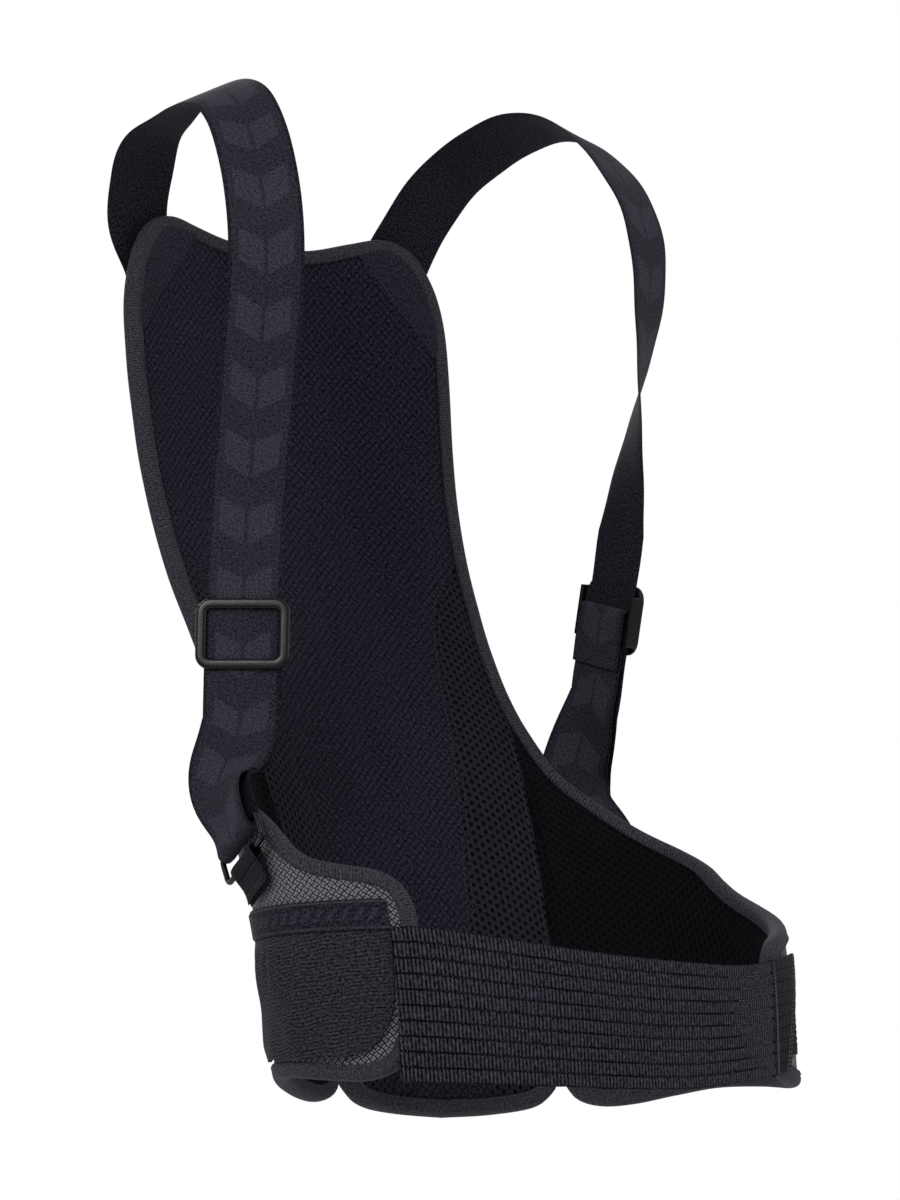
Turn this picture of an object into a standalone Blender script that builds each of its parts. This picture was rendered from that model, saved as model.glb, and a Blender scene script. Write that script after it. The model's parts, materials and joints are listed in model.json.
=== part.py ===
"""Motorcycle back protector worn as a harness.

A padded spine panel continues into two waist wings. Two webbing straps run from the panel's top
corners over the shoulders to rings on the wings, each with a sliding adjuster, and a wide elastic
belt hangs on the wearer's right wing and closes on the left one with a hook tab.
The wearer faces -Y, so the panel is at +Y. Metres, +Z up. The wearer's right side is -X.
"""
import math

import bmesh
import bpy
import numpy as np
from mathutils import Matrix, Vector

for old in list(bpy.data.objects):
    bpy.data.objects.remove(old, do_unlink=True)

# driving dimensions
WAIST_HALF_WIDTH = 0.163
RING_HALF_DEPTH = 0.105
CELLS_ROUND = 50
CELL_HEIGHT = 0.025
BINDING_WIDTH = 0.008
FABRIC_GAP = 0.0003
LINING = 0.0022
SHELL_TOP = 0.0056
PAD_RISE = 0.0104
COVER = 0.0012
BINDING_TOP = 0.0078
WEBBING_WIDTH = 0.045
WEBBING = 0.0016
BELT_THICKNESS = 0.0020
BELT_START = 0.2878
BELT_END = 0.5260
TAB_END = 0.5600
TAB_SLANT = 0.012
SLIDER_WIDTH = 0.055
SLIDER_LENGTH = 0.043
SLIDER_TRAVEL = 0.015
RING_WIDTH = 0.054
RING_LENGTH = 0.016
RING_BAR = 0.0017
RING_LIFT = 0.0142
RETURN_OFFSET = 0.0038

MM = 0.001


def spline(knots):
    """A natural cubic through (x, y) pairs."""
    xs, ys = (np.array(v, float) for v in zip(*knots))
    n, h = len(xs), np.diff(xs)
    a, b = np.eye(n), np.zeros(n)
    for i in range(1, n - 1):
        a[i, i - 1:i + 2] = h[i - 1], 2 * (h[i - 1] + h[i]), h[i]
        b[i] = 6 * ((ys[i + 1] - ys[i]) / h[i] - (ys[i] - ys[i - 1]) / h[i - 1])
    m = np.linalg.solve(a, b)

    def value(x):
        x = np.asarray(x, float)
        i = np.clip(np.searchsorted(xs, x) - 1, 0, n - 2)
        d = x - xs[i]
        slope = (ys[i + 1] - ys[i]) / h[i] - h[i] * (2 * m[i] + m[i + 1]) / 6
        return ys[i] + slope * d + m[i] * d * d / 2 + (m[i + 1] - m[i]) * d**3 / (6 * h[i])

    return value


def smooth(x):
    x = np.clip(x, 0.0, 1.0)
    return x * x * (3 - 2 * x)


# the body the harness wraps: the line of the spine, and how deep the waist ring is, by height
spine_y = spline([(-0.040, 0.076), (0.000, 0.086), (0.080, 0.110), (0.150, 0.137), (0.210, 0.163),
                  (0.262, 0.192), (0.306, 0.219), (0.340, 0.237), (0.391, 0.257), (0.440, 0.268),
                  (0.505, 0.276), (0.560, 0.279)])
half_depth = spline([(-0.040, 0.094), (0.000, 0.098), (0.060, 0.106), (0.150, 0.110),
                     (0.220, 0.088), (0.262, 0.070), (0.300, 0.062), (0.420, 0.062),
                     (0.560, 0.062)])
turns = np.linspace(0.0, 2 * math.pi, 2881)
rate = np.hypot(WAIST_HALF_WIDTH * np.cos(turns), RING_HALF_DEPTH * np.sin(turns))
girth = np.r_[0.0, np.cumsum((rate[1:] + rate[:-1]) / 2 * np.diff(turns))]
GIRTH = float(girth[-1])
CELL_WIDTH = GIRTH / CELLS_ROUND
FLAT_LOW, FLAT_HIGH = 0.400, 0.450


def spine_line(z):
    """The spine's line, straight between the two heights of the flat back patch."""
    t = np.clip((z - FLAT_LOW) / (FLAT_HIGH - FLAT_LOW), 0.0, 1.0)
    chord = spine_y(FLAT_LOW) * (1 - t) + spine_y(FLAT_HIGH) * t
    inside = (z >= FLAT_LOW) & (z <= FLAT_HIGH)
    return np.where(inside, chord, spine_y(z))


def body(s, z):
    """The point at girth s from the spine (+ is the wearer's left) and height z."""
    a = np.interp(np.abs(s), girth, turns)
    bow = half_depth(z) * (1 - np.cos(a)) * smooth((np.abs(s) - 0.031) / 0.040)
    return np.stack([np.sign(s) * WAIST_HALF_WIDTH * np.sin(a), spine_line(z) - bow, z + 0 * s], -1)


def outward(s, z):
    e = 0.0015
    n = np.cross(body(s, z + e) - body(s, z - e), body(s + e, z) - body(s - e, z))
    return n / np.linalg.norm(n, axis=-1, keepdims=True)


def lifted(s, z, lift):
    """A point on the facets: the body's grid points raised along their normals, flat between."""
    s, z = np.atleast_1d(np.asarray(s, float)), np.atleast_1d(np.asarray(z, float))
    side = np.where(s < 0, -1.0, 1.0)
    u, v = np.abs(s) / CELL_WIDTH, z / CELL_HEIGHT
    i, j = np.floor(u + 1e-9), np.floor(v + 1e-9)
    fu, fv = (u - i)[:, None], (v - j)[:, None]

    def corner(di, dj):
        cs, cz = (i + di) * CELL_WIDTH + 1e-12, (j + dj) * CELL_HEIGHT
        t = lift(cs, cz) if callable(lift) else np.full(cs.shape, lift)
        return body(cs, cz) + outward(cs, cz) * t[:, None]

    p00, p11 = corner(0, 0), corner(1, 1)
    low = p00 * (1 - fu) + corner(1, 0) * (fu - fv) + p11 * fv
    high = p00 * (1 - fv) + corner(0, 1) * (fv - fu) + p11 * fu
    p = np.where(fu >= fv, low, high)
    p[:, 0] *= side
    return p


# outlines on the flat pattern, as (girth from the spine, height); the left half is the mirror
TOP_EDGE = [(0.000, 0.5430), (0.030, 0.5455), (0.058, 0.5520), (0.080, 0.5560), (0.097, 0.5510),
            (0.109, 0.5380)]
FLANK_EDGE = [(0.109, 0.538), (0.118, 0.519), (0.1225, 0.495), (0.1230, 0.460), (0.1210, 0.420),
              (0.1190, 0.388), (0.1165, 0.350), (0.1145, 0.320), (0.1120, 0.290), (0.1110, 0.262),
              (0.1140, 0.236), (0.1230, 0.2100)]
RIGHT_WING = [(0.1400, 0.1950), (0.1600, 0.1860), (0.1850, 0.1800), (0.2050, 0.1745),
              (0.2175, 0.1660), (0.2250, 0.1560), (0.2320, 0.1455), (0.2430, 0.1380),
              (0.2600, 0.1335), (0.2760, 0.1300), (0.2870, 0.1235), (0.2922, 0.1120),
              (0.2932, 0.0980), (0.2915, 0.0600), (0.2870, 0.0340), (0.2780, 0.0200),
              (0.2620, 0.0135), (0.2400, 0.0135)]
LEFT_WING = [(0.1407, 0.1905), (0.1607, 0.1735), (0.1830, 0.1595), (0.1955, 0.1500),
             (0.2020, 0.1405), (0.2095, 0.1325), (0.2200, 0.1260), (0.2400, 0.1170),
             (0.2620, 0.1090), (0.2850, 0.1030), (0.3030, 0.0970), (0.3130, 0.0870),
             (0.3165, 0.0740), (0.3165, 0.0560), (0.3130, 0.0340), (0.3030, 0.0210),
             (0.2850, 0.0155), (0.2620, 0.0140), (0.2400, 0.0140)]
HEM_EDGE = [(0.2050, 0.0160), (0.1750, 0.0160), (0.1500, 0.0120), (0.1250, 0.0070),
            (0.1050, 0.0055), (0.0900, 0.0100), (0.0810, 0.0230)]
TAIL_EDGE = [(0.0810, 0.0230), (0.0745, 0.0135), (0.0610, 0.0045), (0.034, 0.000), (0.000, -0.002)]
SEAM = [(0.1038, 0.2400), (0.1010, 0.217), (0.0975, 0.190), (0.094, 0.155), (0.090, 0.115),
        (0.0860, 0.075), (0.0830, 0.050), (0.0813, 0.0340)]
LINER_EDGE = [(0.1072, 0.3450), (0.0975, 0.3330), (0.085, 0.3170), (0.075, 0.2900), (0.067, 0.2560),
              (0.061, 0.2200), (0.055, 0.1860), (0.047, 0.1400), (0.041, 0.1000), (0.0375, 0.0550),
              (0.036, 0.0080)]
FOAM_EDGE = [(0.000, 0.515), (0.040, 0.517), (0.066, 0.505), (0.088, 0.478), (0.099, 0.440),
             (0.100, 0.380), (0.096, 0.320), (0.090, 0.270), (0.083, 0.225), (0.079, 0.180),
             (0.075, 0.120), (0.070, 0.070), (0.062, 0.035), (0.048, 0.020), (0.000, 0.014)]
WING_FOAM = [(0.1000, 0.0450), (0.1030, 0.0900), (0.1080, 0.1400), (0.1140, 0.1800),
             (0.1230, 0.1880), (0.1480, 0.1660), (0.1800, 0.1400), (0.2050, 0.1180),
             (0.2400, 0.1040), (0.2660, 0.0950), (0.2740, 0.0800), (0.2720, 0.0480),
             (0.2600, 0.0330), (0.2200, 0.0310), (0.1600, 0.0290), (0.1150, 0.0270),
             (0.1030, 0.0350), (0.1000, 0.0450)]


def path(points, step=0.014):
    """A smooth line through the points, resampled evenly."""
    p = np.array(points, float)
    ends = np.vstack([2 * p[0] - p[1], p, 2 * p[-1] - p[-2]])
    out = []
    for a, b, c, d in zip(ends, ends[1:], ends[2:], ends[3:]):
        for t in np.linspace(0, 1, 12, endpoint=False):
            out.append(0.5 * (2 * b + (c - a) * t + (2 * a - 5 * b + 4 * c - d) * t * t
                              + (3 * b - a - 3 * c + d) * t**3))
    out = np.vstack(out + [p[-1]])
    run = np.r_[0.0, np.cumsum(np.linalg.norm(np.diff(out, axis=0), axis=1))]
    at = np.linspace(0, run[-1], max(2, int(round(run[-1] / step)) + 1))
    return np.stack([np.interp(at, run, out[:, k]) for k in range(2)], -1)


def beside(line, d):
    """The line moved sideways by d, to its right when followed."""
    t = np.gradient(line, axis=0)
    t /= np.linalg.norm(t, axis=1, keepdims=True)
    return line + d * np.stack([t[:, 1], -t[:, 0]], -1)


def on_middle(line, at_end):
    """The same line with its end set exactly on the spine."""
    line = line.copy()
    line[-1 if at_end else 0, 0] = 0.0
    return line


def between(line, low, high):
    return line[(line[:, 1] > low) & (line[:, 1] < high)]


def far_inside(s, z, edge):
    """How far inside a half outline each point lies, zero outside."""
    ring = np.vstack([edge, edge[::-1] * [-1, 1]])
    a, b = ring, np.roll(ring, -1, axis=0)
    p = np.stack([np.abs(s), z], -1)[:, None]
    f = np.clip(((p - a) * (b - a)).sum(-1) / np.maximum(((b - a) ** 2).sum(-1), 1e-12), 0, 1)
    dist = np.linalg.norm(p - a - f[..., None] * (b - a), axis=-1).min(1)
    up = (a[:, 1] > p[..., 1]) != (b[:, 1] > p[..., 1])
    cut = a[:, 0] + (p[..., 1] - a[:, 1]) * (b[:, 0] - a[:, 0]) / np.where(up, b[:, 1] - a[:, 1], 1)
    return np.where((up & (p[..., 0] < cut)).sum(1) % 2 == 1, dist, 0.0)


FOAM_LINE = path(FOAM_EDGE)


def pad_top(s, z):
    """Where the cover's inner side lies: low at the rim, raised over the foam."""
    return SHELL_TOP + PAD_RISE * smooth(far_inside(s, z, FOAM_LINE) / 0.030)


collection = bpy.data.collections.new("back_protector")
bpy.context.scene.collection.children.link(collection)
cutters = bpy.data.collections.new("cutters")
bpy.context.scene.collection.children.link(cutters)


def material(name, colour, rough, metal=0.0):
    m = bpy.data.materials.new(name)
    m.use_nodes = True
    shader = m.node_tree.nodes["Principled BSDF"]
    shader.inputs["Base Color"].default_value = (*colour, 1.0)
    shader.inputs["Roughness"].default_value = rough
    shader.inputs["Metallic"].default_value = metal
    return m


COLOURS = {
    "cover": ((0.030, 0.030, 0.034), 0.85),
    "liner": ((0.018, 0.018, 0.026), 0.90),
    "mesh": ((0.010, 0.010, 0.012), 0.95),
    "weave": ((0.060, 0.060, 0.066), 0.80),
    "pocket": ((0.022, 0.022, 0.025), 0.85),
    "hem": ((0.016, 0.016, 0.022), 0.80),
    "binding": ((0.036, 0.036, 0.040), 0.75),
    "webbing": ((0.020, 0.020, 0.028), 0.80),
    "belt": ((0.022, 0.022, 0.027), 0.80),
    "hook": ((0.008, 0.008, 0.008), 0.95),
    "foam": ((0.080, 0.075, 0.070), 0.95),
    "plastic": ((0.012, 0.012, 0.013), 0.35),
}


def add_object(name, mesh, kind):
    colour, rough = COLOURS[kind]
    mesh.materials.append(material("mat_" + name, colour, rough))
    obj = bpy.data.objects.new(name, mesh)
    collection.objects.link(obj)
    return obj


def plan(outline):
    """The flat piece cut along the body's grid lines and their diagonals."""
    bm = bmesh.new()
    bm.faces.new([bm.verts.new((s, z, 0.0)) for s, z in outline])
    low, high = outline.min(0), outline.max(0)
    i0, i1 = int(low[0] / CELL_WIDTH) - 1, int(high[0] / CELL_WIDTH) + 2
    j0, j1 = int(low[1] / CELL_HEIGHT) - 2, int(high[1] / CELL_HEIGHT) + 2
    cuts = [((i * CELL_WIDTH, 0, 0), (1, 0, 0)) for i in range(i0, i1)]
    cuts += [((0, j * CELL_HEIGHT, 0), (0, 1, 0)) for j in range(j0, j1)]
    slant = Vector((1 / CELL_WIDTH, -1 / CELL_HEIGHT, 0)).normalized()
    cuts += [((k * CELL_WIDTH, 0, 0), slant) for k in range(i0 - j1, i1 - j0 + 1)]
    for co, no in cuts:
        geom = bm.verts[:] + bm.edges[:] + bm.faces[:]
        bmesh.ops.bisect_plane(bm, geom=geom, dist=2e-6, plane_co=co, plane_no=no)
    bmesh.ops.remove_doubles(bm, verts=bm.verts[:], dist=0.0001)
    bm.verts.index_update()
    return bm


def cloth(name, outline, low, high, kind, mirrored=False, across=False, vents=()):
    """A fabric or foam piece between two lifts above the body; across is a half that is mirrored
    and joined at the spine, vents are grid cells left open."""
    flat = plan(outline)
    points = [(v.co.x, v.co.y) for v in flat.verts]
    faces = []
    for f in flat.faces:
        c = f.calc_center_median()
        if (int(c.x / CELL_WIDTH), int(c.y / CELL_HEIGHT)) in vents:
            continue
        faces.append([v.index for v in f.verts])
    flat.free()
    if across:
        twin = {}
        for k, (s, z) in enumerate(list(points)):
            if s < 1e-5:
                points[k] = (0.0, z)
                twin[k] = k
            else:
                twin[k] = len(points)
                points.append((-s, z))
        faces += [[twin[k] for k in reversed(f)] for f in faces]
    pts = np.array(points)
    if mirrored:
        pts = pts * [-1, 1]
    used = sorted({k for f in faces for k in f})
    place = {k: n for n, k in enumerate(used)}
    inner = lifted(pts[used, 0], pts[used, 1], low)
    outer = lifted(pts[used, 0], pts[used, 1], high)
    count = len(used)
    sides = {}
    solid = []
    for f in faces:
        g = [place[k] for k in f]
        solid.append([k + count for k in g])
        solid.append(g[::-1])
        for a, b in zip(g, g[1:] + g[:1]):
            if sides.pop((b, a), None) is None:
                sides[(a, b)] = True
    solid += [[a, b, b + count, a + count] for a, b in sides]
    mesh = bpy.data.meshes.new(name)
    mesh.from_pydata([tuple(p) for p in np.vstack([inner, outer])], [], solid)
    bm = bmesh.new()
    bm.from_mesh(mesh)
    bmesh.ops.recalc_face_normals(bm, faces=bm.faces[:])
    bmesh.ops.triangulate(bm, faces=[f for f in bm.faces if len(f.verts) > 3])
    bm.to_mesh(mesh)
    bm.free()
    return add_object(name, mesh, kind)


def both(name, outline, low, high, kind):
    cloth(name + "_left", outline, low, high, kind)
    cloth(name + "_right", outline, low, high, kind, mirrored=True)


def nearest(line, point):
    return int(np.argmin(np.linalg.norm(line - np.array(point), axis=1)))


# the rim: one line round each half of the harness, and its parallel where the fabrics end
def rim_of(wing_edge):
    return path(TOP_EDGE + FLANK_EDGE[1:] + wing_edge + HEM_EDGE + TAIL_EDGE[1:])


def joined(whole, tip):
    """The first line with its part round the wing taken from the second, so both halves share
    every other point."""
    first, last = nearest(whole, FLANK_EDGE[-1]), nearest(whole, HEM_EDGE[1])
    start, end = nearest(tip, whole[first]), nearest(tip, whole[last])
    return np.vstack([whole[:first + 1], tip[start + 1:end], whole[last:]])


def inner(line):
    return on_middle(on_middle(beside(line, BINDING_WIDTH + FABRIC_GAP), True), False)


rim = rim_of(RIGHT_WING)
rims = {"right": rim, "left": joined(rim, rim_of(LEFT_WING))}
rim_in = inner(rim)
at_corner = nearest(rim, TOP_EDGE[-1])
at_notch = nearest(rim, TAIL_EDGE[0])
at_seam = nearest(rim_in, SEAM[0])
seam = path(SEAM, 0.020)
seam_panel, seam_wing = beside(seam, 0.0003)[1:-1], beside(seam, -0.0003)[1:-1]
liner_edge = path(LINER_EDGE, 0.018)
panel_rim, tail_rim = rim_in[:at_seam], rim_in[at_notch + 1:]

# spine panel
cloth("outer_cover", np.vstack([panel_rim, seam_panel, tail_rim]), pad_top,
      lambda s, z: pad_top(s, z) + COVER, "cover", across=True)
vents = {(i, j) for i in (1, 3) for j in range(3 + i // 2, 19, 3)}
cloth("foam_insert", on_middle(on_middle(FOAM_LINE, True), False), LINING + 0.0004,
      lambda s, z: pad_top(s, z) - 0.0004, "foam", across=True, vents=vents)
liner_low = liner_edge[liner_edge[:, 1] > 0.0125]
cloth("centre_liner", np.vstack([between(panel_rim, 0.347, 1.0), liner_low,
                                 tail_rim[tail_rim[:, 0] < 0.034]]), 0.0, LINING, "liner",
      across=True)
mesh_line = between(beside(liner_low, -0.0004)[::-1], 0.0, 0.3405)
both("side_mesh", np.vstack([between(panel_rim, 0.0, 0.342), seam_panel,
                             tail_rim[tail_rim[:, 0] > 0.0385], mesh_line]), 0.0, LINING, "mesh")
corner_line = panel_rim[(panel_rim[:, 0] > 0.060) & (panel_rim[:, 1] > 0.484)]
corner_cut = path([(0.1125, 0.480), (0.101, 0.497), (0.085, 0.515), (0.070, 0.534)])
both("corner_patch", np.vstack([corner_line, corner_cut]), -0.0014, -0.0004, "liner")

# wings
foam_wing = path(WING_FOAM)[:-1]
for side, line in rims.items():
    inside_rim = inner(line)
    notch = nearest(line, TAIL_EDGE[0])
    wing = np.vstack([seam_wing[::-1], inside_rim[at_seam + 1:notch]])
    left_out = side == "right"
    cloth("wing_lining_" + side, wing, 0.0, LINING, "mesh", mirrored=left_out)
    cloth("wing_foam_" + side, foam_wing, LINING + 0.0004, SHELL_TOP - 0.0004, "foam",
          mirrored=left_out)
    cloth("wing_shell_" + side, wing, SHELL_TOP, SHELL_TOP + COVER, "weave", mirrored=left_out)


def strip(line, first, last):
    """The band along the rim from one place to another, its ends drawn back from the next one."""
    band = on_middle(on_middle(beside(line, BINDING_WIDTH), True), False)
    sides = []
    for edge in (line, band):
        part = edge[first:last + 1].copy()
        for end, after in ((0, 1), (-1, -2)):
            if part[end, 0] > 0.001:
                d = part[after] - part[end]
                part[end] += d / np.linalg.norm(d) * 0.0003
        sides.append(part)
    return np.vstack([sides[0], sides[1][::-1]])


cloth("binding_top", strip(rim, 0, at_corner), -0.001, BINDING_TOP, "binding", across=True)
cloth("binding_tail", strip(rim, at_notch, len(rim) - 1), -0.001, BINDING_TOP, "binding",
      across=True)
for side, line in rims.items():
    front, notch = nearest(line, HEM_EDGE[0]), nearest(line, TAIL_EDGE[0])
    cloth("binding_flank_" + side, strip(line, at_corner, front), -0.001, BINDING_TOP, "binding",
          mirrored=side == "right")
    cloth("binding_hem_" + side, strip(line, front, notch), -0.001, BINDING_TOP, "binding",
          mirrored=side == "right")


def block(s0, s1, z0, z1, slope=0.0):
    """A four-sided outline, its corners clipped."""
    c = 0.003
    pts = [(s0, z1 - c), (s0 + c, z1), (s1 - c, z1 + slope), (s1, z1 + slope - c),
           (s1, z0 + slope + c), (s1 - c, z0 + slope), (s0 + c, z0), (s0, z0 + c)]
    return np.array(pts)


def bulge(s0, s1, z0, z1, rise):
    def lift(s, z):
        u, v = (np.abs(s) - s0) / (s1 - s0), (z - z0) / (z1 - z0)
        hump = np.clip(4 * u * (1 - u), 0, 1) * np.clip(4 * v * (1 - v), 0, 1)
        return SHELL_TOP + COVER + 0.0004 + rise * np.sqrt(hump)
    return lift


# pockets: the right one is full length, the left one stops where the belt lands
POCKETS = {"right": (0.158, [(0.1580, 0.0955), (0.2794, 0.0955), (0.2785, 0.0600), (0.2740, 0.0420),
                             (0.2640, 0.0300), (0.2480, 0.0250), (0.1995, 0.0265),
                             (0.1580, 0.0265)], 0.2794),
           "left": (0.120, [(0.1200, 0.0955), (0.2120, 0.0955), (0.2120, 0.0300),
                            (0.2080, 0.0265), (0.1200, 0.0265)], 0.2120)}
for side, (s0, shape, s1) in POCKETS.items():
    swell = bulge(s0, s1, 0.020, 0.096, 0.0040)
    cloth("pocket_body_" + side, np.array(shape), swell,
          lambda s, z, f=swell: f(s, z) + COVER, "pocket", mirrored=side == "right")
    cloth("pocket_hem_" + side, block(s0, s1, 0.0962, 0.1135), 0.0072, 0.0090, "hem",
          mirrored=side == "right")
cloth("loop_panel", block(0.2680, 0.3015, 0.032, 0.0840), 0.0071, 0.0079, "hook")

# belt: it follows the ring round the front and narrows towards its free end
belt_top = spline([(0.274, 0.0985), (0.300, 0.0966), (0.330, 0.0922), (0.369, 0.0868),
                   (0.409, 0.0828), (0.460, 0.0802), (0.500, 0.0805), (0.535, 0.0850),
                   (0.575, 0.0925)])
belt_bottom = spline([(0.274, 0.0108), (0.366, 0.0093), (0.407, 0.0085), (0.459, 0.0098),
                      (0.498, 0.0145), (0.540, 0.0200), (0.575, 0.0240)])


def belt_piece(name, s0, s1, low, high, kind, trim=0.0, slant=0.0):
    run = np.linspace(s0, s1, max(3, int((s1 - s0) / 0.0125) + 1))
    lean = slant * (run - s0) / (s1 - s0)
    upper = np.stack([run + lean, belt_top(run) - trim], -1)
    lower = np.stack([run - lean, belt_bottom(run) + trim], -1)[::-1]
    cloth(name, np.vstack([upper, lower]), low, high, kind, mirrored=True)


BELT_LOW = 0.0094
belt_piece("belt_anchor", 0.2800, 0.2870, 0.0083, BELT_LOW + BELT_THICKNESS, "belt", 0.0005)
belt_piece("belt_elastic", BELT_START, BELT_END, BELT_LOW, BELT_LOW + BELT_THICKNESS, "belt")
belt_piece("belt_tab", BELT_END + 0.0008, TAB_END, BELT_LOW, BELT_LOW + BELT_THICKNESS, "hem",
           -0.0010, TAB_SLANT)
belt_piece("hook_pad", BELT_END + 0.0012, TAB_END - 0.0008, 0.0083, BELT_LOW - 0.0003, "hook",
           0.0020, TAB_SLANT)


def ribbon(name, stations, width, thick, kind):
    """Webbing through stations of (centre, width direction)."""
    mid = np.array([p for p, _ in stations], float)
    wide = np.array([w for _, w in stations], float)
    run = np.gradient(mid, axis=0)
    run /= np.linalg.norm(run, axis=1, keepdims=True)
    wide -= (wide * run).sum(1, keepdims=True) * run
    wide /= np.linalg.norm(wide, axis=1, keepdims=True)
    up = np.cross(run, wide)
    rings = [mid + sw * wide * width / 2 + su * up * thick / 2
             for sw, su in ((-1, -1), (1, -1), (1, 1), (-1, 1))]
    verts = np.stack(rings, 1).reshape(-1, 3)
    faces = [[0, 1, 2, 3], [len(verts) - k for k in (1, 2, 3, 4)]]
    for k in range(len(mid) - 1):
        a = 4 * k
        faces += [[a + i, a + 4 + i, a + 4 + (i + 1) % 4, a + (i + 1) % 4] for i in range(4)]
    mesh = bpy.data.meshes.new(name)
    mesh.from_pydata([tuple(v) for v in verts], [], faces)
    bm = bmesh.new()
    bm.from_mesh(mesh)
    bmesh.ops.recalc_face_normals(bm, faces=bm.faces[:])
    bm.to_mesh(mesh)
    bm.free()
    return add_object(name, mesh, kind)


def unit(v):
    v = np.array(v, float)
    return v / np.linalg.norm(v)


def frame_at(origin, down, out):
    """Axes of a webbing fitting: across, down the strap, outward."""
    down = unit(down)
    out = unit(np.array(out) - np.dot(out, down) * down)
    return np.array(origin, float), np.cross(out, down), down, out


def put(frame, w, l, n):
    o, a, d, u = frame
    return o + a * w + d * l + u * n


def box_mesh(frame, w, l, n):
    """A box given by its spans across, down and outward in a fitting's frame."""
    bm = bmesh.new()
    v = [bm.verts.new(put(frame, x, y, z)) for x in w for y in l for z in n]
    for f in ((0, 1, 3, 2), (4, 6, 7, 5), (0, 4, 5, 1), (2, 3, 7, 6), (0, 2, 6, 4), (1, 5, 7, 3)):
        bm.faces.new([v[k] for k in f])
    bmesh.ops.recalc_face_normals(bm, faces=bm.faces[:])
    return bm


def as_mesh(bm, name):
    mesh = bpy.data.meshes.new(name)
    bm.to_mesh(mesh)
    bm.free()
    return mesh


def cutter(name, bm):
    obj = bpy.data.objects.new(name, as_mesh(bm, name))
    cutters.objects.link(obj)
    obj.hide_render = True
    obj.display_type = "WIRE"
    return obj


def combine(obj, other, how):
    mod = obj.modifiers.new(how.lower(), "BOOLEAN")
    mod.operation = how
    mod.solver = "EXACT"
    mod.object = other


def rounded(bm, along, radius, steps):
    """The box with its four edges along one direction rounded."""
    edges = [e for e in bm.edges
             if abs((e.verts[0].co - e.verts[1].co).normalized().dot(Vector(along))) > 0.99]
    bmesh.ops.bevel(bm, geom=edges, offset=radius, segments=steps, profile=0.5,
                    affect="EDGES", clamp_overlap=True)
    return bm


def slider(side, frame):
    """A moulded adjuster: the strap passes behind its end bars and in front of its middle bar."""
    hw, hl = SLIDER_WIDTH / 2, SLIDER_LENGTH / 2
    out = frame[3]
    blank = rounded(box_mesh(frame, (-hw, hw), (-hl, hl), (-0.0052, 0.0041)), out, 0.0075, 4)
    obj = add_object("slider_" + side, as_mesh(blank, "slider_" + side), "plastic")
    wide, tall = hw - 0.0045, hl - 0.0065
    window = rounded(box_mesh(frame, (-wide, wide), (-tall, tall), (-0.02, 0.02)), out, 0.003, 3)
    channel = box_mesh(frame, (-0.0237, 0.0237), (-0.04, 0.04), (-0.02, 0.00105))
    bar = rounded(box_mesh(frame, (-hw + 0.0025, hw - 0.0025), (-0.0035, 0.0035),
                           (-0.0052, -0.0027)), frame[1], 0.0009, 2)
    combine(obj, cutter("slider_window_" + side, window), "DIFFERENCE")
    combine(obj, cutter("slider_channel_" + side, channel), "DIFFERENCE")
    combine(obj, cutter("slider_bar_" + side, bar), "UNION")
    return obj


def webbing_loop(side, frame):
    """The strap's sewn end round the slider's middle bar."""
    wide = frame[1]
    length, front, back = 0.031, -0.00175, -0.00615
    st = [(put(frame, 0, length, front), wide), (put(frame, 0, 0.012, front), wide)]
    mid, r = (front + back) / 2, (front - back) / 2
    for k in range(9):
        a = math.pi * k / 8
        st.append((put(frame, 0, -0.0036 - r * math.sin(a), mid + r * math.cos(a)), wide))
    st += [(put(frame, 0, 0.012, back), wide), (put(frame, 0, length, back), wide)]
    ribbon("strap_loop_" + side, st, WEBBING_WIDTH, 0.0013, "webbing")


def ring(side, frame):
    hw, hl = RING_WIDTH / 2, RING_LENGTH / 2
    out = frame[3]
    r = RING_BAR
    blank = rounded(box_mesh(frame, (-hw - r, hw + r), (-hl - r, hl + r), (-r, r)), out, 0.004, 3)
    obj = add_object("ring_" + side, as_mesh(blank, "ring_" + side), "plastic")
    hole = rounded(box_mesh(frame, (-hw + r, hw - r), (-hl + r, hl - r), (-0.01, 0.01)), out,
                   0.002, 3)
    combine(obj, cutter("ring_window_" + side, hole), "DIFFERENCE")


def ring_tab(side, frame):
    """The tape that holds the ring: under its lower bar, over it and back down to the wing."""
    wide = frame[1]
    r = RING_BAR + 0.0011 + 0.0006
    hl = RING_LENGTH / 2
    st = [(put(frame, 0, hl + 0.022, -r), wide), (put(frame, 0, hl + 0.010, -r), wide)]
    for k in range(9):
        a = math.pi * k / 8
        st.append((put(frame, 0, hl - r * math.sin(a), -r * math.cos(a)), wide))
    st += [(put(frame, 0, hl + 0.007, 0.0008), wide), (put(frame, 0, hl + 0.014, -r + 0.0019), wide),
           (put(frame, 0, hl + 0.021, -r + 0.0017), wide)]
    ribbon("ring_tab_" + side, st, 0.030, 0.0012, "webbing")


def through(stations, step):
    """Stations of (centre, outward) resampled along a smooth line."""
    p = np.array([list(a) + list(unit(b)) for a, b in stations], float)
    run = np.r_[0.0, np.cumsum(np.linalg.norm(np.diff(p[:, :3], axis=0), axis=1))]
    curves = [spline(list(zip(run, p[:, k]))) for k in range(6)]
    at = np.linspace(0, run[-1], int(run[-1] / step) + 1)
    q = np.stack([c(at) for c in curves], -1)
    return q[:, :3], q[:, 3:]


def across_of(centres, outs):
    run = np.gradient(centres, axis=0)
    return np.cross(outs, run / np.linalg.norm(run, axis=1, keepdims=True))


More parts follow.
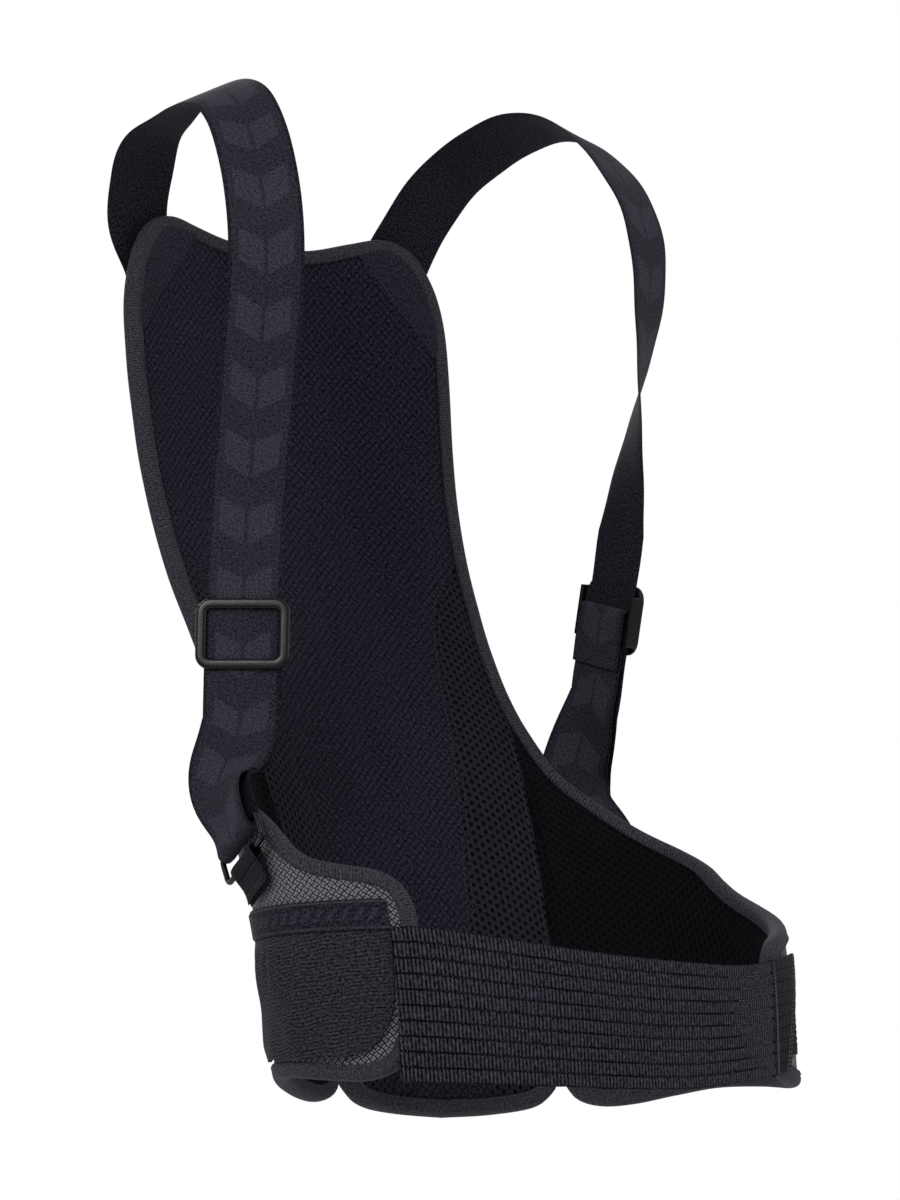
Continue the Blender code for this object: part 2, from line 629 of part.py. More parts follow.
# straps, as (point in millimetres, outward direction), from the panel over the shoulder
STRAPS = {
    "left": dict(
        sign=1, girth=0.135, slider=(133.5, 103.5, 305),
        shoulder=[((99, 279.5, 552), (0.12, 0.98, 0.10)), ((106, 262, 578), (0.18, 0.86, 0.48)),
                  ((111, 245, 594), (0.22, 0.66, 0.72)), ((116, 222, 606), (0.28, 0.36, 0.88)),
                  ((120, 184, 616), (0.30, 0.10, 0.94)), ((123, 150, 615), (0.30, -0.18, 0.92)),
                  ((129, 119, 601), (0.30, -0.54, 0.76)), ((136, 95, 577), (0.32, -0.82, 0.44)),
                  ((140, 78, 548), (0.37, -0.90, 0.20))],
        run=[((140.5, 71, 510), (0.46, -0.88, 0.08)), ((138, 73.0, 465), (0.66, -0.74, 0.0)),
             ((135, 80, 415), (0.92, -0.40, 0.0))],
        straight=((133.5, 91.0, 355), (133.5, 116.0, 255), (0.998, 0.03, 0.0)),
        tail=[((136.0, 132, 230), (0.90, 0.42, -0.05)), ((137.0, 143, 210), (0.76, 0.62, -0.15)),
              ((135.0, 141, 190), (0.66, 0.70, -0.25))]),
    "right": dict(
        sign=-1, girth=0.204, slider=(144.55, 87.1, 276),
        shoulder=[((99, 279.5, 552), (0.06, 0.99, 0.10)), ((106, 264, 578), (0.04, 0.88, 0.46)),
                  ((113, 246, 592), (0.10, 0.68, 0.72)), ((119, 222, 600), (0.20, 0.38, 0.90)),
                  ((122, 184, 609), (0.36, 0.12, 0.92)), ((126, 150, 611), (0.42, -0.16, 0.88)),
                  ((130, 121, 600), (0.44, -0.50, 0.74)), ((134, 98, 577), (0.46, -0.76, 0.44)),
                  ((137, 82, 548), (0.50, -0.83, 0.22))],
        run=[((138.5, 73, 510), (0.55, -0.83, 0.05)), ((138, 77, 460), (0.58, -0.81, 0.0)),
             ((138, 86, 400), (0.60, -0.80, 0.0))],
        straight=((140.3, 91.9, 326), (148.8, 82.3, 226), (0.62, -0.78, 0.0)),
        tail=[((165.5, 68, 203), (0.74, -0.67, 0.05)), ((178.5, 59.5, 184), (0.95, -0.25, 0.02))]),
}


def on_axis(name, place, *pieces):
    """An empty on a joint's axis, which the pieces that the joint moves hang from."""
    empty = bpy.data.objects.new(name, None)
    empty.location = place
    collection.objects.link(empty)
    bpy.context.view_layer.update()
    for piece in pieces:
        moved = bpy.data.objects[piece]
        moved.parent = empty
        moved.matrix_parent_inverse = empty.matrix_world.inverted()


def belt_axis(run):
    """The middle of a line across the belt's outer face."""
    low, top = float(belt_bottom(run)), float(belt_top(run))
    return np.mean([lifted([run], [z], 0.0114)[0] for z in np.linspace(low, top, 9)], 0) * [-1, 1, 1]


for side, spec in STRAPS.items():
    flip = np.array([spec["sign"], 1, 1])
    g = spec["girth"]
    a, b = lifted([g], [0.140], RING_LIFT)[0], lifted([g], [0.156], RING_LIFT)[0]
    out = outward(np.array([g]), np.array([0.148]))[0]
    ring_frame = frame_at((a + b) / 2 * flip, (a - b) * flip, out * flip)
    p0, p1, n_straight = (np.array(v, float) for v in spec["straight"])
    slide = frame_at(np.array(spec["slider"]) * MM * flip, (p1 - p0) * flip, n_straight * flip)
    ends = [lifted([0.086], [z], t)[0] / MM for z, t in ((0.486, 0.0160), (0.522, 0.0140))]
    foot = outward(np.array([0.090]), np.array([0.50]))[0]
    top_turn = RING_LENGTH / 2
    r = RING_BAR + 0.0020 + WEBBING / 2
    hang = [(put(ring_frame, 0, -top_turn - h, r) / MM * flip, out) for h in (0.012, 0.0)]
    upper = [(ends[0], foot), (ends[1], foot)] + spec["shoulder"] + spec["run"]
    c1, o1 = through(upper + [(p0, n_straight)], 20)
    c2 = np.linspace(p0, p1, 6)[1:]
    c3, o3 = through([(p1, n_straight)] + spec["tail"] + hang, 9)
    centres = np.vstack([c1, c2, c3[1:]]) * MM * flip
    outs = np.vstack([o1, np.tile(n_straight, (5, 1)), o3[1:]]) * flip
    wide = across_of(centres, outs)
    wide /= np.linalg.norm(wide, axis=1, keepdims=True)
    turn = [(put(ring_frame, 0, -top_turn + r * math.sin(t), r * math.cos(t)), ring_frame[1])
            for t in np.linspace(0, math.pi, 9)[1:]]
    stations = list(zip(centres, wide)) + turn
    sign = np.sign(np.dot(wide[-1], ring_frame[1]))
    stations = [(c, w * sign) for c, w in zip(centres, wide)] + turn
    back = []
    first = len(c1) + 5
    run = np.gradient(centres, axis=0)
    top_end = np.array(slide[0]) + slide[2] * 0.0175
    for k in range(len(centres) - 1, 0, -1):
        if np.dot(centres[k] - top_end, slide[2]) < 0.004:
            break
        f = smooth((k - first) / (len(centres) - 1 - first))
        inward = np.cross(run[k], wide[k]) / np.linalg.norm(run[k])
        inward *= -np.sign(np.dot(inward, outs[k]))
        back.append((centres[k] + inward * (RETURN_OFFSET * (1 - f) + 2 * r * f), wide[k] * sign))
    back.append((top_end - slide[3] * RETURN_OFFSET, slide[1]))
    stations += back[1:]
    ribbon("strap_" + side, stations, WEBBING_WIDTH, WEBBING, "webbing")
    slider(side, slide)
    webbing_loop(side, slide)
    ring(side, ring_frame)
    ring_tab(side, ring_frame)
    cloth("strap_anchor_" + side, block(0.062, 0.110, 0.486, 0.512),
          lambda s, z: pad_top(s, z) + 0.0015, lambda s, z: pad_top(s, z) + 0.0025, "liner",
          mirrored=spec["sign"] < 0)
    on_axis("slide_axis_" + side, slide[0], "slider_" + side, "strap_loop_" + side)
    on_axis("ring_axis_" + side, put(ring_frame, 0, RING_LENGTH / 2, 0), "ring_" + side)
on_axis("belt_swing_axis", belt_axis(BELT_START), "belt_elastic")
on_axis("belt_peel_axis", belt_axis(BELT_END + 0.0004), "belt_tab", "hook_pad")
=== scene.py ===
"""Looks for a motorcycle back protector worn as a harness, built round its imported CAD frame.

The soft pieces are made again here as smooth fabric on the same body surface as the solids: a point
is a girth s from the spine (+ is the wearer's left), a height z and a lift above the body.
"""
import json
import math

import bmesh
import bpy
import numpy as np
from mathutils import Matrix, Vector

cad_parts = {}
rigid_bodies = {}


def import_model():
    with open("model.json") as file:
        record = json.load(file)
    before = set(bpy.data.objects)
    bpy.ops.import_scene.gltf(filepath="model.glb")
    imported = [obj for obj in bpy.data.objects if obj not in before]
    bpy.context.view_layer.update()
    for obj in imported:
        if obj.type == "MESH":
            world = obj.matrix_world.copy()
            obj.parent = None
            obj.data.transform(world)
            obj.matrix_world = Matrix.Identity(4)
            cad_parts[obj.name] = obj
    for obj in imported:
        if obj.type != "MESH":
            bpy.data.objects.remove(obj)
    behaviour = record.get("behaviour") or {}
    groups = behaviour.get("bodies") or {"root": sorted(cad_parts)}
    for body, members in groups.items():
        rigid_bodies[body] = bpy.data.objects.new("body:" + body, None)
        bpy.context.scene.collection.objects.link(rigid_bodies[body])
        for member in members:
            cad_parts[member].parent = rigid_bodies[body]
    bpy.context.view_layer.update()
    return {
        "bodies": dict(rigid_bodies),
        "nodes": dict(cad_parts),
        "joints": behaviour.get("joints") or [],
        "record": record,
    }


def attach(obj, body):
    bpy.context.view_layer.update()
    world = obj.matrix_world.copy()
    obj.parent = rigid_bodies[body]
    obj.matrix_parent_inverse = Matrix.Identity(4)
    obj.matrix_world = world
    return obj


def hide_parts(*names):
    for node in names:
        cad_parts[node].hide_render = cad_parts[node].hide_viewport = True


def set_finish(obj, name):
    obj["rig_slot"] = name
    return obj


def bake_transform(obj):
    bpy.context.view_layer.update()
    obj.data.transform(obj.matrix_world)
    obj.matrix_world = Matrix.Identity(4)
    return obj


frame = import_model()
MM = 0.001

# ---------------------------------------------------------------- the body the harness wraps
WAIST_HALF_WIDTH, RING_HALF_DEPTH = 0.163, 0.105
LINING, SHELL_TOP, PAD_RISE, COVER = 0.0022, 0.0056, 0.0104, 0.0012
WEBBING_WIDTH, WEBBING = 0.045, 0.0016
BELT_LOW, BELT_THICKNESS = 0.0094, 0.002
BELT_TOP, ANCHOR_LOW = BELT_LOW + BELT_THICKNESS, 0.0083
BELT_START, BELT_END, TAB_END, TAB_SLANT = 0.2878, 0.526, 0.56, 0.012
SLIDER_WIDTH, SLIDER_LENGTH = 0.055, 0.043
RING_WIDTH, RING_LENGTH, RING_BAR, RING_LIFT = 0.054, 0.016, 0.0017, 0.0142
RETURN_OFFSET = 0.0038


def mm(*flat):
    """Pairs in metres, from numbers in millimetres."""
    return [(a / 1000, b / 1000) for a, b in zip(flat[::2], flat[1::2])]


def spline(knots):
    """A natural cubic through (x, y) pairs."""
    xs, ys = (np.array(v, float) for v in zip(*knots))
    n, h = len(xs), np.diff(xs)
    a, b = np.eye(n), np.zeros(n)
    for i in range(1, n - 1):
        a[i, i - 1:i + 2] = h[i - 1], 2 * (h[i - 1] + h[i]), h[i]
        b[i] = 6 * ((ys[i + 1] - ys[i]) / h[i] - (ys[i] - ys[i - 1]) / h[i - 1])
    m = np.linalg.solve(a, b)

    def value(x):
        x = np.asarray(x, float)
        i = np.clip(np.searchsorted(xs, x) - 1, 0, n - 2)
        d = x - xs[i]
        slope = (ys[i + 1] - ys[i]) / h[i] - h[i] * (2 * m[i] + m[i + 1]) / 6
        return ys[i] + slope * d + m[i] * d * d / 2 + (m[i + 1] - m[i]) * d**3 / (6 * h[i])

    return value


def smooth(x):
    x = np.clip(x, 0.0, 1.0)
    return x * x * (3 - 2 * x)


spine_y = spline(mm(-40, 76, 0, 86, 80, 110, 150, 137, 210, 163, 262, 192, 306, 219, 340, 237,
                    391, 257, 440, 268, 505, 276, 560, 279))
half_depth = spline(mm(-40, 94, 0, 98, 60, 106, 150, 110, 220, 88, 262, 70, 300, 62, 420, 62,
                       560, 62))
turns = np.linspace(0.0, 2 * math.pi, 2881)
rate = np.hypot(WAIST_HALF_WIDTH * np.cos(turns), RING_HALF_DEPTH * np.sin(turns))
girth = np.r_[0.0, np.cumsum((rate[1:] + rate[:-1]) / 2 * np.diff(turns))]
heights = np.linspace(-0.05, 0.58, 631)
climbs = np.r_[0.0, np.cumsum(np.hypot(np.diff(heights), np.diff(spine_y(heights))))]


def body(s, z):
    a = np.interp(np.abs(s), girth, turns)
    bow = half_depth(z) * (1 - np.cos(a)) * smooth((np.abs(s) - 0.031) / 0.04)
    return np.stack([np.sign(s) * WAIST_HALF_WIDTH * np.sin(a), spine_y(z) - bow, z + 0 * s], -1)


def outward(s, z):
    e = 0.0015
    n = np.cross(body(s, z + e) - body(s, z - e), body(s + e, z) - body(s - e, z))
    return n / np.linalg.norm(n, axis=-1, keepdims=True)


def at(s, z, lift):
    """Points at girths s, heights z, raised by lift: a number, an array or a function of both."""
    s, z = np.atleast_1d(np.asarray(s, float)), np.atleast_1d(np.asarray(z, float))
    t = lift(s, z) if callable(lift) else np.broadcast_to(lift, s.shape)
    return body(s, z) + outward(s, z) * np.asarray(t)[:, None]


TOP_EDGE = mm(0, 543, 30, 545.5, 58, 552, 80, 556, 97, 551, 109, 538)
FLANK_EDGE = mm(109, 538, 118, 519, 122.5, 495, 123, 460, 121, 420, 119, 388, 116.5, 350,
                114.5, 320, 112, 290, 111, 262, 114, 236, 123, 210)
RIGHT_WING = mm(140, 195, 160, 186, 185, 180, 205, 174.5, 217.5, 166, 225, 156, 232, 145.5,
                243, 138, 260, 133.5, 276, 130, 287, 123.5, 292.2, 112, 293.2, 98, 291.5, 60,
                287, 34, 278, 20, 262, 13.5, 240, 13.5)
LEFT_WING = mm(140.7, 190.5, 160.7, 173.5, 183, 159.5, 195.5, 150, 202, 140.5, 209.5, 132.5,
               220, 126, 240, 117, 262, 109, 285, 103, 303, 97, 313, 87, 316.5, 74, 316.5, 56,
               313, 34, 303, 21, 285, 15.5, 262, 14, 240, 14)
HEM_EDGE = mm(205, 16, 175, 16, 150, 12, 125, 7, 105, 5.5, 90, 10, 81, 23)
TAIL_EDGE = mm(81, 23, 74.5, 13.5, 61, 4.5, 34, 0, 0, -2)
SEAM = mm(103.8, 240, 101, 217, 97.5, 190, 94, 155, 90, 115, 86, 75, 83, 50, 81.3, 34)
LINER_EDGE = mm(107.2, 345, 97.5, 333, 85, 317, 75, 290, 67, 256, 61, 220, 55, 186, 47, 140,
                41, 100, 37.5, 55, 36, 8)
FOAM_EDGE = mm(0, 515, 40, 517, 66, 505, 88, 478, 99, 440, 100, 380, 96, 320, 90, 270, 83, 225,
               79, 180, 75, 120, 70, 70, 62, 35, 48, 20, 0, 14)
WING_FOAM = mm(100, 45, 103, 90, 108, 140, 114, 180, 123, 188, 148, 166, 180, 140, 205, 118,
               240, 104, 266, 95, 274, 80, 272, 48, 260, 33, 220, 31, 160, 29, 115, 27, 103, 35,
               100, 45)


def run_of(line):
    """The length along a line at each of its points."""
    return np.r_[0.0, np.cumsum(np.linalg.norm(np.diff(line, axis=0), axis=1))]


def unit_rows(v):
    return v / np.linalg.norm(v, axis=-1, keepdims=True)


def path(points, step=0.004):
    """A smooth line through the points, resampled evenly."""
    p = np.array(points, float)
    ends = np.vstack([2 * p[0] - p[1], p, 2 * p[-1] - p[-2]])
    out = []
    for a, b, c, d in zip(ends, ends[1:], ends[2:], ends[3:]):
        for t in np.linspace(0, 1, 12, endpoint=False):
            out.append(0.5 * (2 * b + (c - a) * t + (2 * a - 5 * b + 4 * c - d) * t * t
                              + (3 * b - a - 3 * c + d) * t**3))
    out = np.vstack(out + [p[-1]])
    run = run_of(out)
    spots = np.linspace(0, run[-1], max(2, int(round(run[-1] / step)) + 1))
    return np.stack([np.interp(spots, run, out[:, k]) for k in range(2)], -1)


def eased(v, closed=False, times=3):
    """A row of vectors averaged with its neighbours."""
    for _ in range(times):
        if closed:
            v = (np.roll(v, 1, 0) + 2 * v + np.roll(v, -1, 0)) / 4
        else:
            v = np.vstack([v[:1], (v[:-2] + 2 * v[1:-1] + v[2:]) / 4, v[-1:]])
    return v


def beside(line, d):
    """The line moved sideways by d, to its right when followed."""
    t = unit_rows(eased(np.gradient(line, axis=0)))
    return line + d * np.stack([t[:, 1], -t[:, 0]], -1)


def on_middle(line):
    line = line.copy()
    line[[0, -1], 0] = np.where(line[[0, -1], 0] < 0.004, 0.0, line[[0, -1], 0])
    return line


def nearest(line, point):
    return int(np.argmin(np.linalg.norm(line - np.array(point), axis=1)))


def edge_distance(s, z, outline, mirrored_too=False):
    """Distance from each point to a closed outline."""
    ring = np.vstack([outline, outline[::-1] * [-1, 1]]) if mirrored_too else outline
    a, b = ring, np.roll(ring, -1, axis=0)
    p = np.stack([s if mirrored_too else np.abs(s), z], -1)[:, None]
    f = np.clip(((p - a) * (b - a)).sum(-1) / np.maximum(((b - a) ** 2).sum(-1), 1e-12), 0, 1)
    return np.linalg.norm(p - a - f[..., None] * (b - a), axis=-1).min(1)


def inside(s, z, ring):
    a, b = ring, np.roll(ring, -1, axis=0)
    p = np.stack([s, z], -1)[:, None]
    up = (a[:, 1] > p[..., 1]) != (b[:, 1] > p[..., 1])
    cut = a[:, 0] + (p[..., 1] - a[:, 1]) * (b[:, 0] - a[:, 0]) / np.where(up, b[:, 1] - a[:, 1], 1)
    return (up & (p[..., 0] < cut)).sum(1) % 2 == 1


FOAM_LINE = path(FOAM_EDGE, 0.012)
FOAM_RING = np.vstack([FOAM_LINE, FOAM_LINE[::-1] * [-1, 1]])


def pad_top(s, z):
    d = edge_distance(s, z, FOAM_LINE, True) * inside(s, z, FOAM_RING)
    return SHELL_TOP + PAD_RISE * smooth(d / 0.03)


def ripple(s, z, size, seed):
    """Soft irregular waves, between about -1 and 1."""
    total = 0
    for k in range(6):
        turn, rate_k = seed + 2.4 * k, 2 * math.pi / size * (0.6 + 0.17 * k)
        along = s * math.cos(turn) + z * math.sin(turn)
        total = total + np.sin(rate_k * along + seed * 5 + k * k)
    return total / 3.0


# ---------------------------------------------------------------- materials
class Wire:
    """A node socket with arithmetic."""

    def __init__(self, tree, socket):
        self.tree, self.socket = tree, socket

    def do(self, how, *others):
        node = self.tree.nodes.new("ShaderNodeMath")
        node.operation = how
        for k, o in enumerate((self,) + others):
            if isinstance(o, Wire):
                self.tree.links.new(o.socket, node.inputs[k])
            else:
                node.inputs[k].default_value = o
        return Wire(self.tree, node.outputs[0])

    def step(self, a, b):
        """0 below a, 1 above b, smooth between."""
        node = self.tree.nodes.new("ShaderNodeMapRange")
        node.interpolation_type = "SMOOTHSTEP"
        self.tree.links.new(self.socket, node.inputs["Value"])
        node.inputs["From Min"].default_value = a
        node.inputs["From Max"].default_value = b
        return Wire(self.tree, node.outputs["Result"])


for sum_name, how in (("__add__", "ADD"), ("__sub__", "SUBTRACT"), ("__mul__", "MULTIPLY"),
                      ("sin", "SINE"), ("abs", "ABSOLUTE"), ("fract", "FRACT"),
                      ("power", "POWER"), ("over", "GREATER_THAN"), ("low", "MINIMUM")):
    setattr(Wire, sum_name, lambda self, *others, how=how: self.do(how, *others))


def wave(x, period, sharp=1.0):
    """|sin| once per period."""
    return (x * (math.pi / period)).sin().abs().power(sharp)


def fine(m, scale, detail=2.0, stretch=(1, 1, 1), source="UV"):
    """A noise value about 0.5, in features per metre."""
    tree = m.node_tree
    coords = tree.nodes.new("ShaderNodeTexCoord")
    mapping = tree.nodes.new("ShaderNodeMapping")
    mapping.inputs["Scale"].default_value = stretch
    tree.links.new(coords.outputs[source], mapping.inputs["Vector"])
    tex = tree.nodes.new("ShaderNodeTexNoise")
    tex.inputs["Scale"].default_value = scale
    tex.inputs["Detail"].default_value = detail
    tree.links.new(mapping.outputs["Vector"], tex.inputs["Vector"])
    return Wire(tree, tex.outputs["Fac"])


def new_material(name):
    m = bpy.data.materials.new(name)
    m.use_nodes = True
    return m, m.node_tree, m.node_tree.nodes["Principled BSDF"]


def surfaced(m, dark, light, shade, rough, height, strength, depth):
    """The material with a colour from dark to light by shade, its roughness and its relief."""
    tree, shader = m.node_tree, m.node_tree.nodes["Principled BSDF"]
    mix = tree.nodes.new("ShaderNodeMix")
    mix.data_type = "RGBA"
    mix.inputs[6].default_value = (*dark, 1.0)
    mix.inputs[7].default_value = (*light, 1.0)
    tree.links.new(shade.socket, mix.inputs[0])
    tree.links.new(mix.outputs[2], shader.inputs["Base Color"])
    tree.links.new(rough.socket, shader.inputs["Roughness"])
    bump = tree.nodes.new("ShaderNodeBump")
    bump.inputs["Strength"].default_value = strength
    bump.inputs["Distance"].default_value = depth
    tree.links.new(height.socket, bump.inputs["Height"])
    tree.links.new(bump.outputs["Normal"], shader.inputs["Normal"])
    return m


def material(name, dark, light, weave, rough=0.85, specular=0.03, depth=0.0003,
             fuzz=0.25):
    """A fabric whose weave gives height and tone; weave is a function of (u, v, material)."""
    m, tree, shader = new_material(name)
    shader.inputs["Specular IOR Level"].default_value = specular
    shader.inputs["Sheen Weight"].default_value = 0.02
    shader.inputs["Sheen Roughness"].default_value = 0.45
    shader.inputs["Sheen Tint"].default_value = (0.75, 0.76, 0.9, 1.0)
    coords = tree.nodes.new("ShaderNodeTexCoord")
    split = tree.nodes.new("ShaderNodeSeparateXYZ")
    tree.links.new(coords.outputs["UV"], split.inputs[0])
    u, v = Wire(tree, split.outputs[0]), Wire(tree, split.outputs[1])
    height, tone = weave(u, v, m)
    fibres = fine(m, 620.0, 3.0)
    wear = fine(m, 22.0, 3.0, source="Object")
    shade = tone * (1.0 - fuzz) + (fibres - 0.5) * (7.0 * fuzz) + (wear - 0.5) * 0.16
    return surfaced(m, dark, light, shade, (wear - 0.5) * 0.16 + rough,
                    height + (fibres - 0.5) * 0.25, 1.0, depth)


def embossed_knit(u, v, m):
    """Small raised lozenges between sunk crossing lines, on a speckled knit."""
    a, b = u * 190.0 + v * 180.0, u * 190.0 - v * 180.0
    line = wave(a, 1.0).low(wave(b, 1.0)).step(0.05, 0.55)
    speck = fine(m, 430.0, 3.0)
    return line + speck * 0.4, line * 0.5 + (speck - 0.5) * 1.3 + 0.14


def hex_net(pitch):
    """Open spacer mesh: holes in a close hexagonal net of knitted bars."""
    def weave(u, v, m):
        k = 2 * math.pi / pitch
        total = (u * k + math.pi / 2).sin()
        total = total + (u * (-0.5 * k) + v * (0.62 * k) + math.pi / 2).sin()
        total = total + (u * (-0.5 * k) - v * (0.62 * k) + math.pi / 2).sin()
        bars = total.step(1.5, 0.15)
        yarn = fine(m, 1200.0, 2.0)
        return bars + yarn * 0.3, bars * (yarn * 1.6 - 0.1)
    return weave


def basket(p):
    """Flat yarns over and under, on the bias."""
    def weave(u, v, m):
        a, b = (u + v) * 0.7071, (u - v) * 0.7071
        over = ((a * (math.pi / p)).sin() * (b * (math.pi / p)).sin()).over(0.0)
        one = wave(a, p, 1.0) * wave(b, p / 2, 0.5)
        two = wave(b, p, 1.0) * wave(a, p / 2, 0.5)
        h = over * one + (over * -1.0 + 1.0) * two
        return h, h * 1.25 - 0.1
    return weave


def ribs(pitch, strength):
    """Ribs across u, broken by the yarns."""
    def weave(u, v, m):
        rib = wave(u, pitch, 0.8)
        yarn = fine(m, 1000.0, 2.0, (1, 1.6, 1))
        h = rib * strength + yarn * (1 - strength)
        return h, h
    return weave


def belt_ribs(u, v, m):
    """Elastic: upright ribs in sewn channels, with a dark line between them."""
    rib = wave(u + v * 0.04, 0.0021, 1.2)
    yarn = fine(m, 620.0, 2.0, (1, 0.5, 1))
    channel = wave(v + 0.04, 0.008, 1.0).step(0.08, 0.36)
    h = (rib * 0.7 + yarn * 0.5) * channel
    return h, (rib + (yarn - 0.5) * 2.0 - 0.16) * channel


def stretch_knit(u, v, m):
    """Pocket fabric: fine courses running round the body, dragged into small waves."""
    drift = fine(m, 60.0, 1.0) * 0.0045
    course = wave(v + u * 0.12 + drift, 0.0021, 0.9)
    yarn = fine(m, 560.0, 2.0, (1, 1.5, 1))
    h = course * 0.5 + yarn * 0.5
    return h, course * 0.48 + (yarn - 0.5) * 2.2 + 0.16


def twill(p):
    def weave(u, v, m):
        yarn = fine(m, 1000.0, 2.0)
        h = wave(u + v * 0.9, p * 1.6, 0.8) * 0.6 + yarn * 0.4
        return h, h
    return weave


def jacquard(u, v, m):
    """Elastic webbing: plain selvedges, and slanted bars in a smoother weave down the middle."""
    mid = (u - WEBBING_WIDTH / 2).abs()
    yarn = fine(m, 850.0, 2.0)
    lean = v + mid * 0.55
    bar = (lean * (1 / 0.04)).fract()
    shape = bar.step(0.1, 0.14) * (bar.step(0.6, 0.64) * -1.0 + 1.0)
    cut = mid.step(0.0008, 0.0016)
    field = mid.step(0.0165, 0.0158) * u.step(0.07, 0.06)
    figure = shape * cut * field
    edge = mid.step(0.02, 0.0206)
    h = yarn * (figure * -0.4 + 0.9) + figure * 0.5
    return h, (yarn - 0.5) * (figure * 0.4 + 1.0) + 0.27 + figure * 0.17 - edge * 0.14


def hem_weave(u, v, m):
    """Elastic hem: a row of slanted dashes between two edge lines."""
    yarn = fine(m, 1000.0, 2.0)
    centre = (v - 0.10485).abs()
    dash = ((u + v * 0.7) * (1 / 0.0075)).fract()
    mark = dash.step(0.3, 0.4) * (dash.step(0.7, 0.8) * -1.0 + 1.0)
    mark = mark * centre.step(0.0036, 0.003)
    line = (centre - 0.0072).abs().step(0.0008, 0.0003)
    return yarn * 0.6 + mark * 0.4, (yarn - 0.5) * 1.6 + 0.24 + mark * 0.26 + line * 0.5


def loops(u, v, m):
    n = fine(m, 1400.0, 3.0)
    return n * 1.6, n


def foam_pores(u, v, m):
    n = fine(m, 700.0, 3.0, source="Object")
    return n, n


def thread_twist(u, v, m):
    h = wave(u + v, 0.0006)
    return h, h


def plastic(name, colour, rough):
    m, tree, shader = new_material(name)
    shader.inputs["Specular IOR Level"].default_value = 0.14
    grain, rub = fine(m, 900.0, 2.0, source="Object"), fine(m, 60.0, 4.0, source="Object")
    return surfaced(m, colour, [c * 2.2 for c in colour], rub.step(0.5, 0.85),
                    (rub - 0.5) * 0.22 + rough, grain, 0.5, 0.00006)


LOOK = {
    "liner": material("liner_knit", (0.0012, 0.0011, 0.0028), (0.0225, 0.021, 0.033),
                      embossed_knit, 0.85, depth=0.00035),
    "mesh": material("spacer_mesh", (0.0004, 0.0004, 0.0006), (0.015, 0.014, 0.018),
                     hex_net(0.0036), 0.8, depth=0.001, fuzz=0.1),
    "lining": material("lining_mesh", (0.0004, 0.0004, 0.0006), (0.0035, 0.0033, 0.0048),
                       hex_net(0.0034), 0.85, depth=0.0008, fuzz=0.12),
    "weave": material("wing_weave", (0.001, 0.001, 0.0016), (0.135, 0.132, 0.15),
                      basket(0.0032), 0.7, specular=0.1, depth=0.0006, fuzz=0.15),
    "cover": material("cover_weave", (0.002, 0.002, 0.003), (0.03, 0.029, 0.036),
                      basket(0.0024), 0.8, depth=0.0003),
    "patch": material("patch_knit", (0.001, 0.0009, 0.0022), (0.026, 0.024, 0.035),
                      twill(0.0013), 0.85, depth=0.0003),
    "binding": material("binding_tape", (0.004, 0.0038, 0.0054), (0.044, 0.042, 0.052),
                        ribs(0.0018, 0.5), 0.7, depth=0.00025),
    "webbing": material("webbing_jacquard", (0.0018, 0.0017, 0.0036), (0.048, 0.046, 0.062),
                        jacquard, 0.75, depth=0.00035, fuzz=0.1),
    "belt": material("belt_elastic", (0.0004, 0.0004, 0.001), (0.034, 0.035, 0.046),
                     belt_ribs, 0.75, depth=0.0006, fuzz=0.15),
    "pocket": material("pocket_stretch", (0.001, 0.001, 0.002), (0.033, 0.0315, 0.04),
                       stretch_knit, 0.75, depth=0.0004, fuzz=0.2),
    "hem": material("hem_elastic", (0.0016, 0.0015, 0.0034), (0.037, 0.035, 0.048),
                    hem_weave, 0.75, depth=0.0003, fuzz=0.2),
    "tab": material("tab_tape", (0.0008, 0.0008, 0.0014), (0.015, 0.0145, 0.019),
                    belt_ribs, 0.75, depth=0.0004),
    "hook": material("hook_pile", (0.002, 0.002, 0.0022), (0.016, 0.0158, 0.018), loops, 0.9,
                     depth=0.0008, fuzz=0.1),
    "foam": material("closed_foam", (0.03, 0.029, 0.028), (0.08, 0.078, 0.074),
                     foam_pores, 0.95, depth=0.0003, fuzz=0.1),
    "thread": material("black_thread", (0.008, 0.008, 0.01), (0.034, 0.033, 0.04),
                       thread_twist, 0.6, specular=0.15, depth=0.00005, fuzz=0.1),
    "pale": material("grey_thread", (0.05, 0.049, 0.056), (0.17, 0.166, 0.18),
                     thread_twist, 0.6, specular=0.15, depth=0.00005, fuzz=0.1),
    "plastic": plastic("moulded_plastic", (0.0016, 0.0016, 0.0019), 0.24),
}
SLOT = {"liner": "liner", "mesh": "mesh", "lining": "mesh", "weave": "weave", "cover": "cover",
        "patch": "liner", "binding": "binding", "webbing": "webbing", "belt": "belt",
        "pocket": "pocket", "hem": "hem", "tab": "hem", "hook": "hook", "foam": "foam",
        "thread": "binding", "pale": "belt", "plastic": "plastic"}


# ---------------------------------------------------------------- building pieces
def new_object(name, data):
    obj = bpy.data.objects.new(name, data)
    bpy.context.scene.collection.objects.link(obj)
    return obj


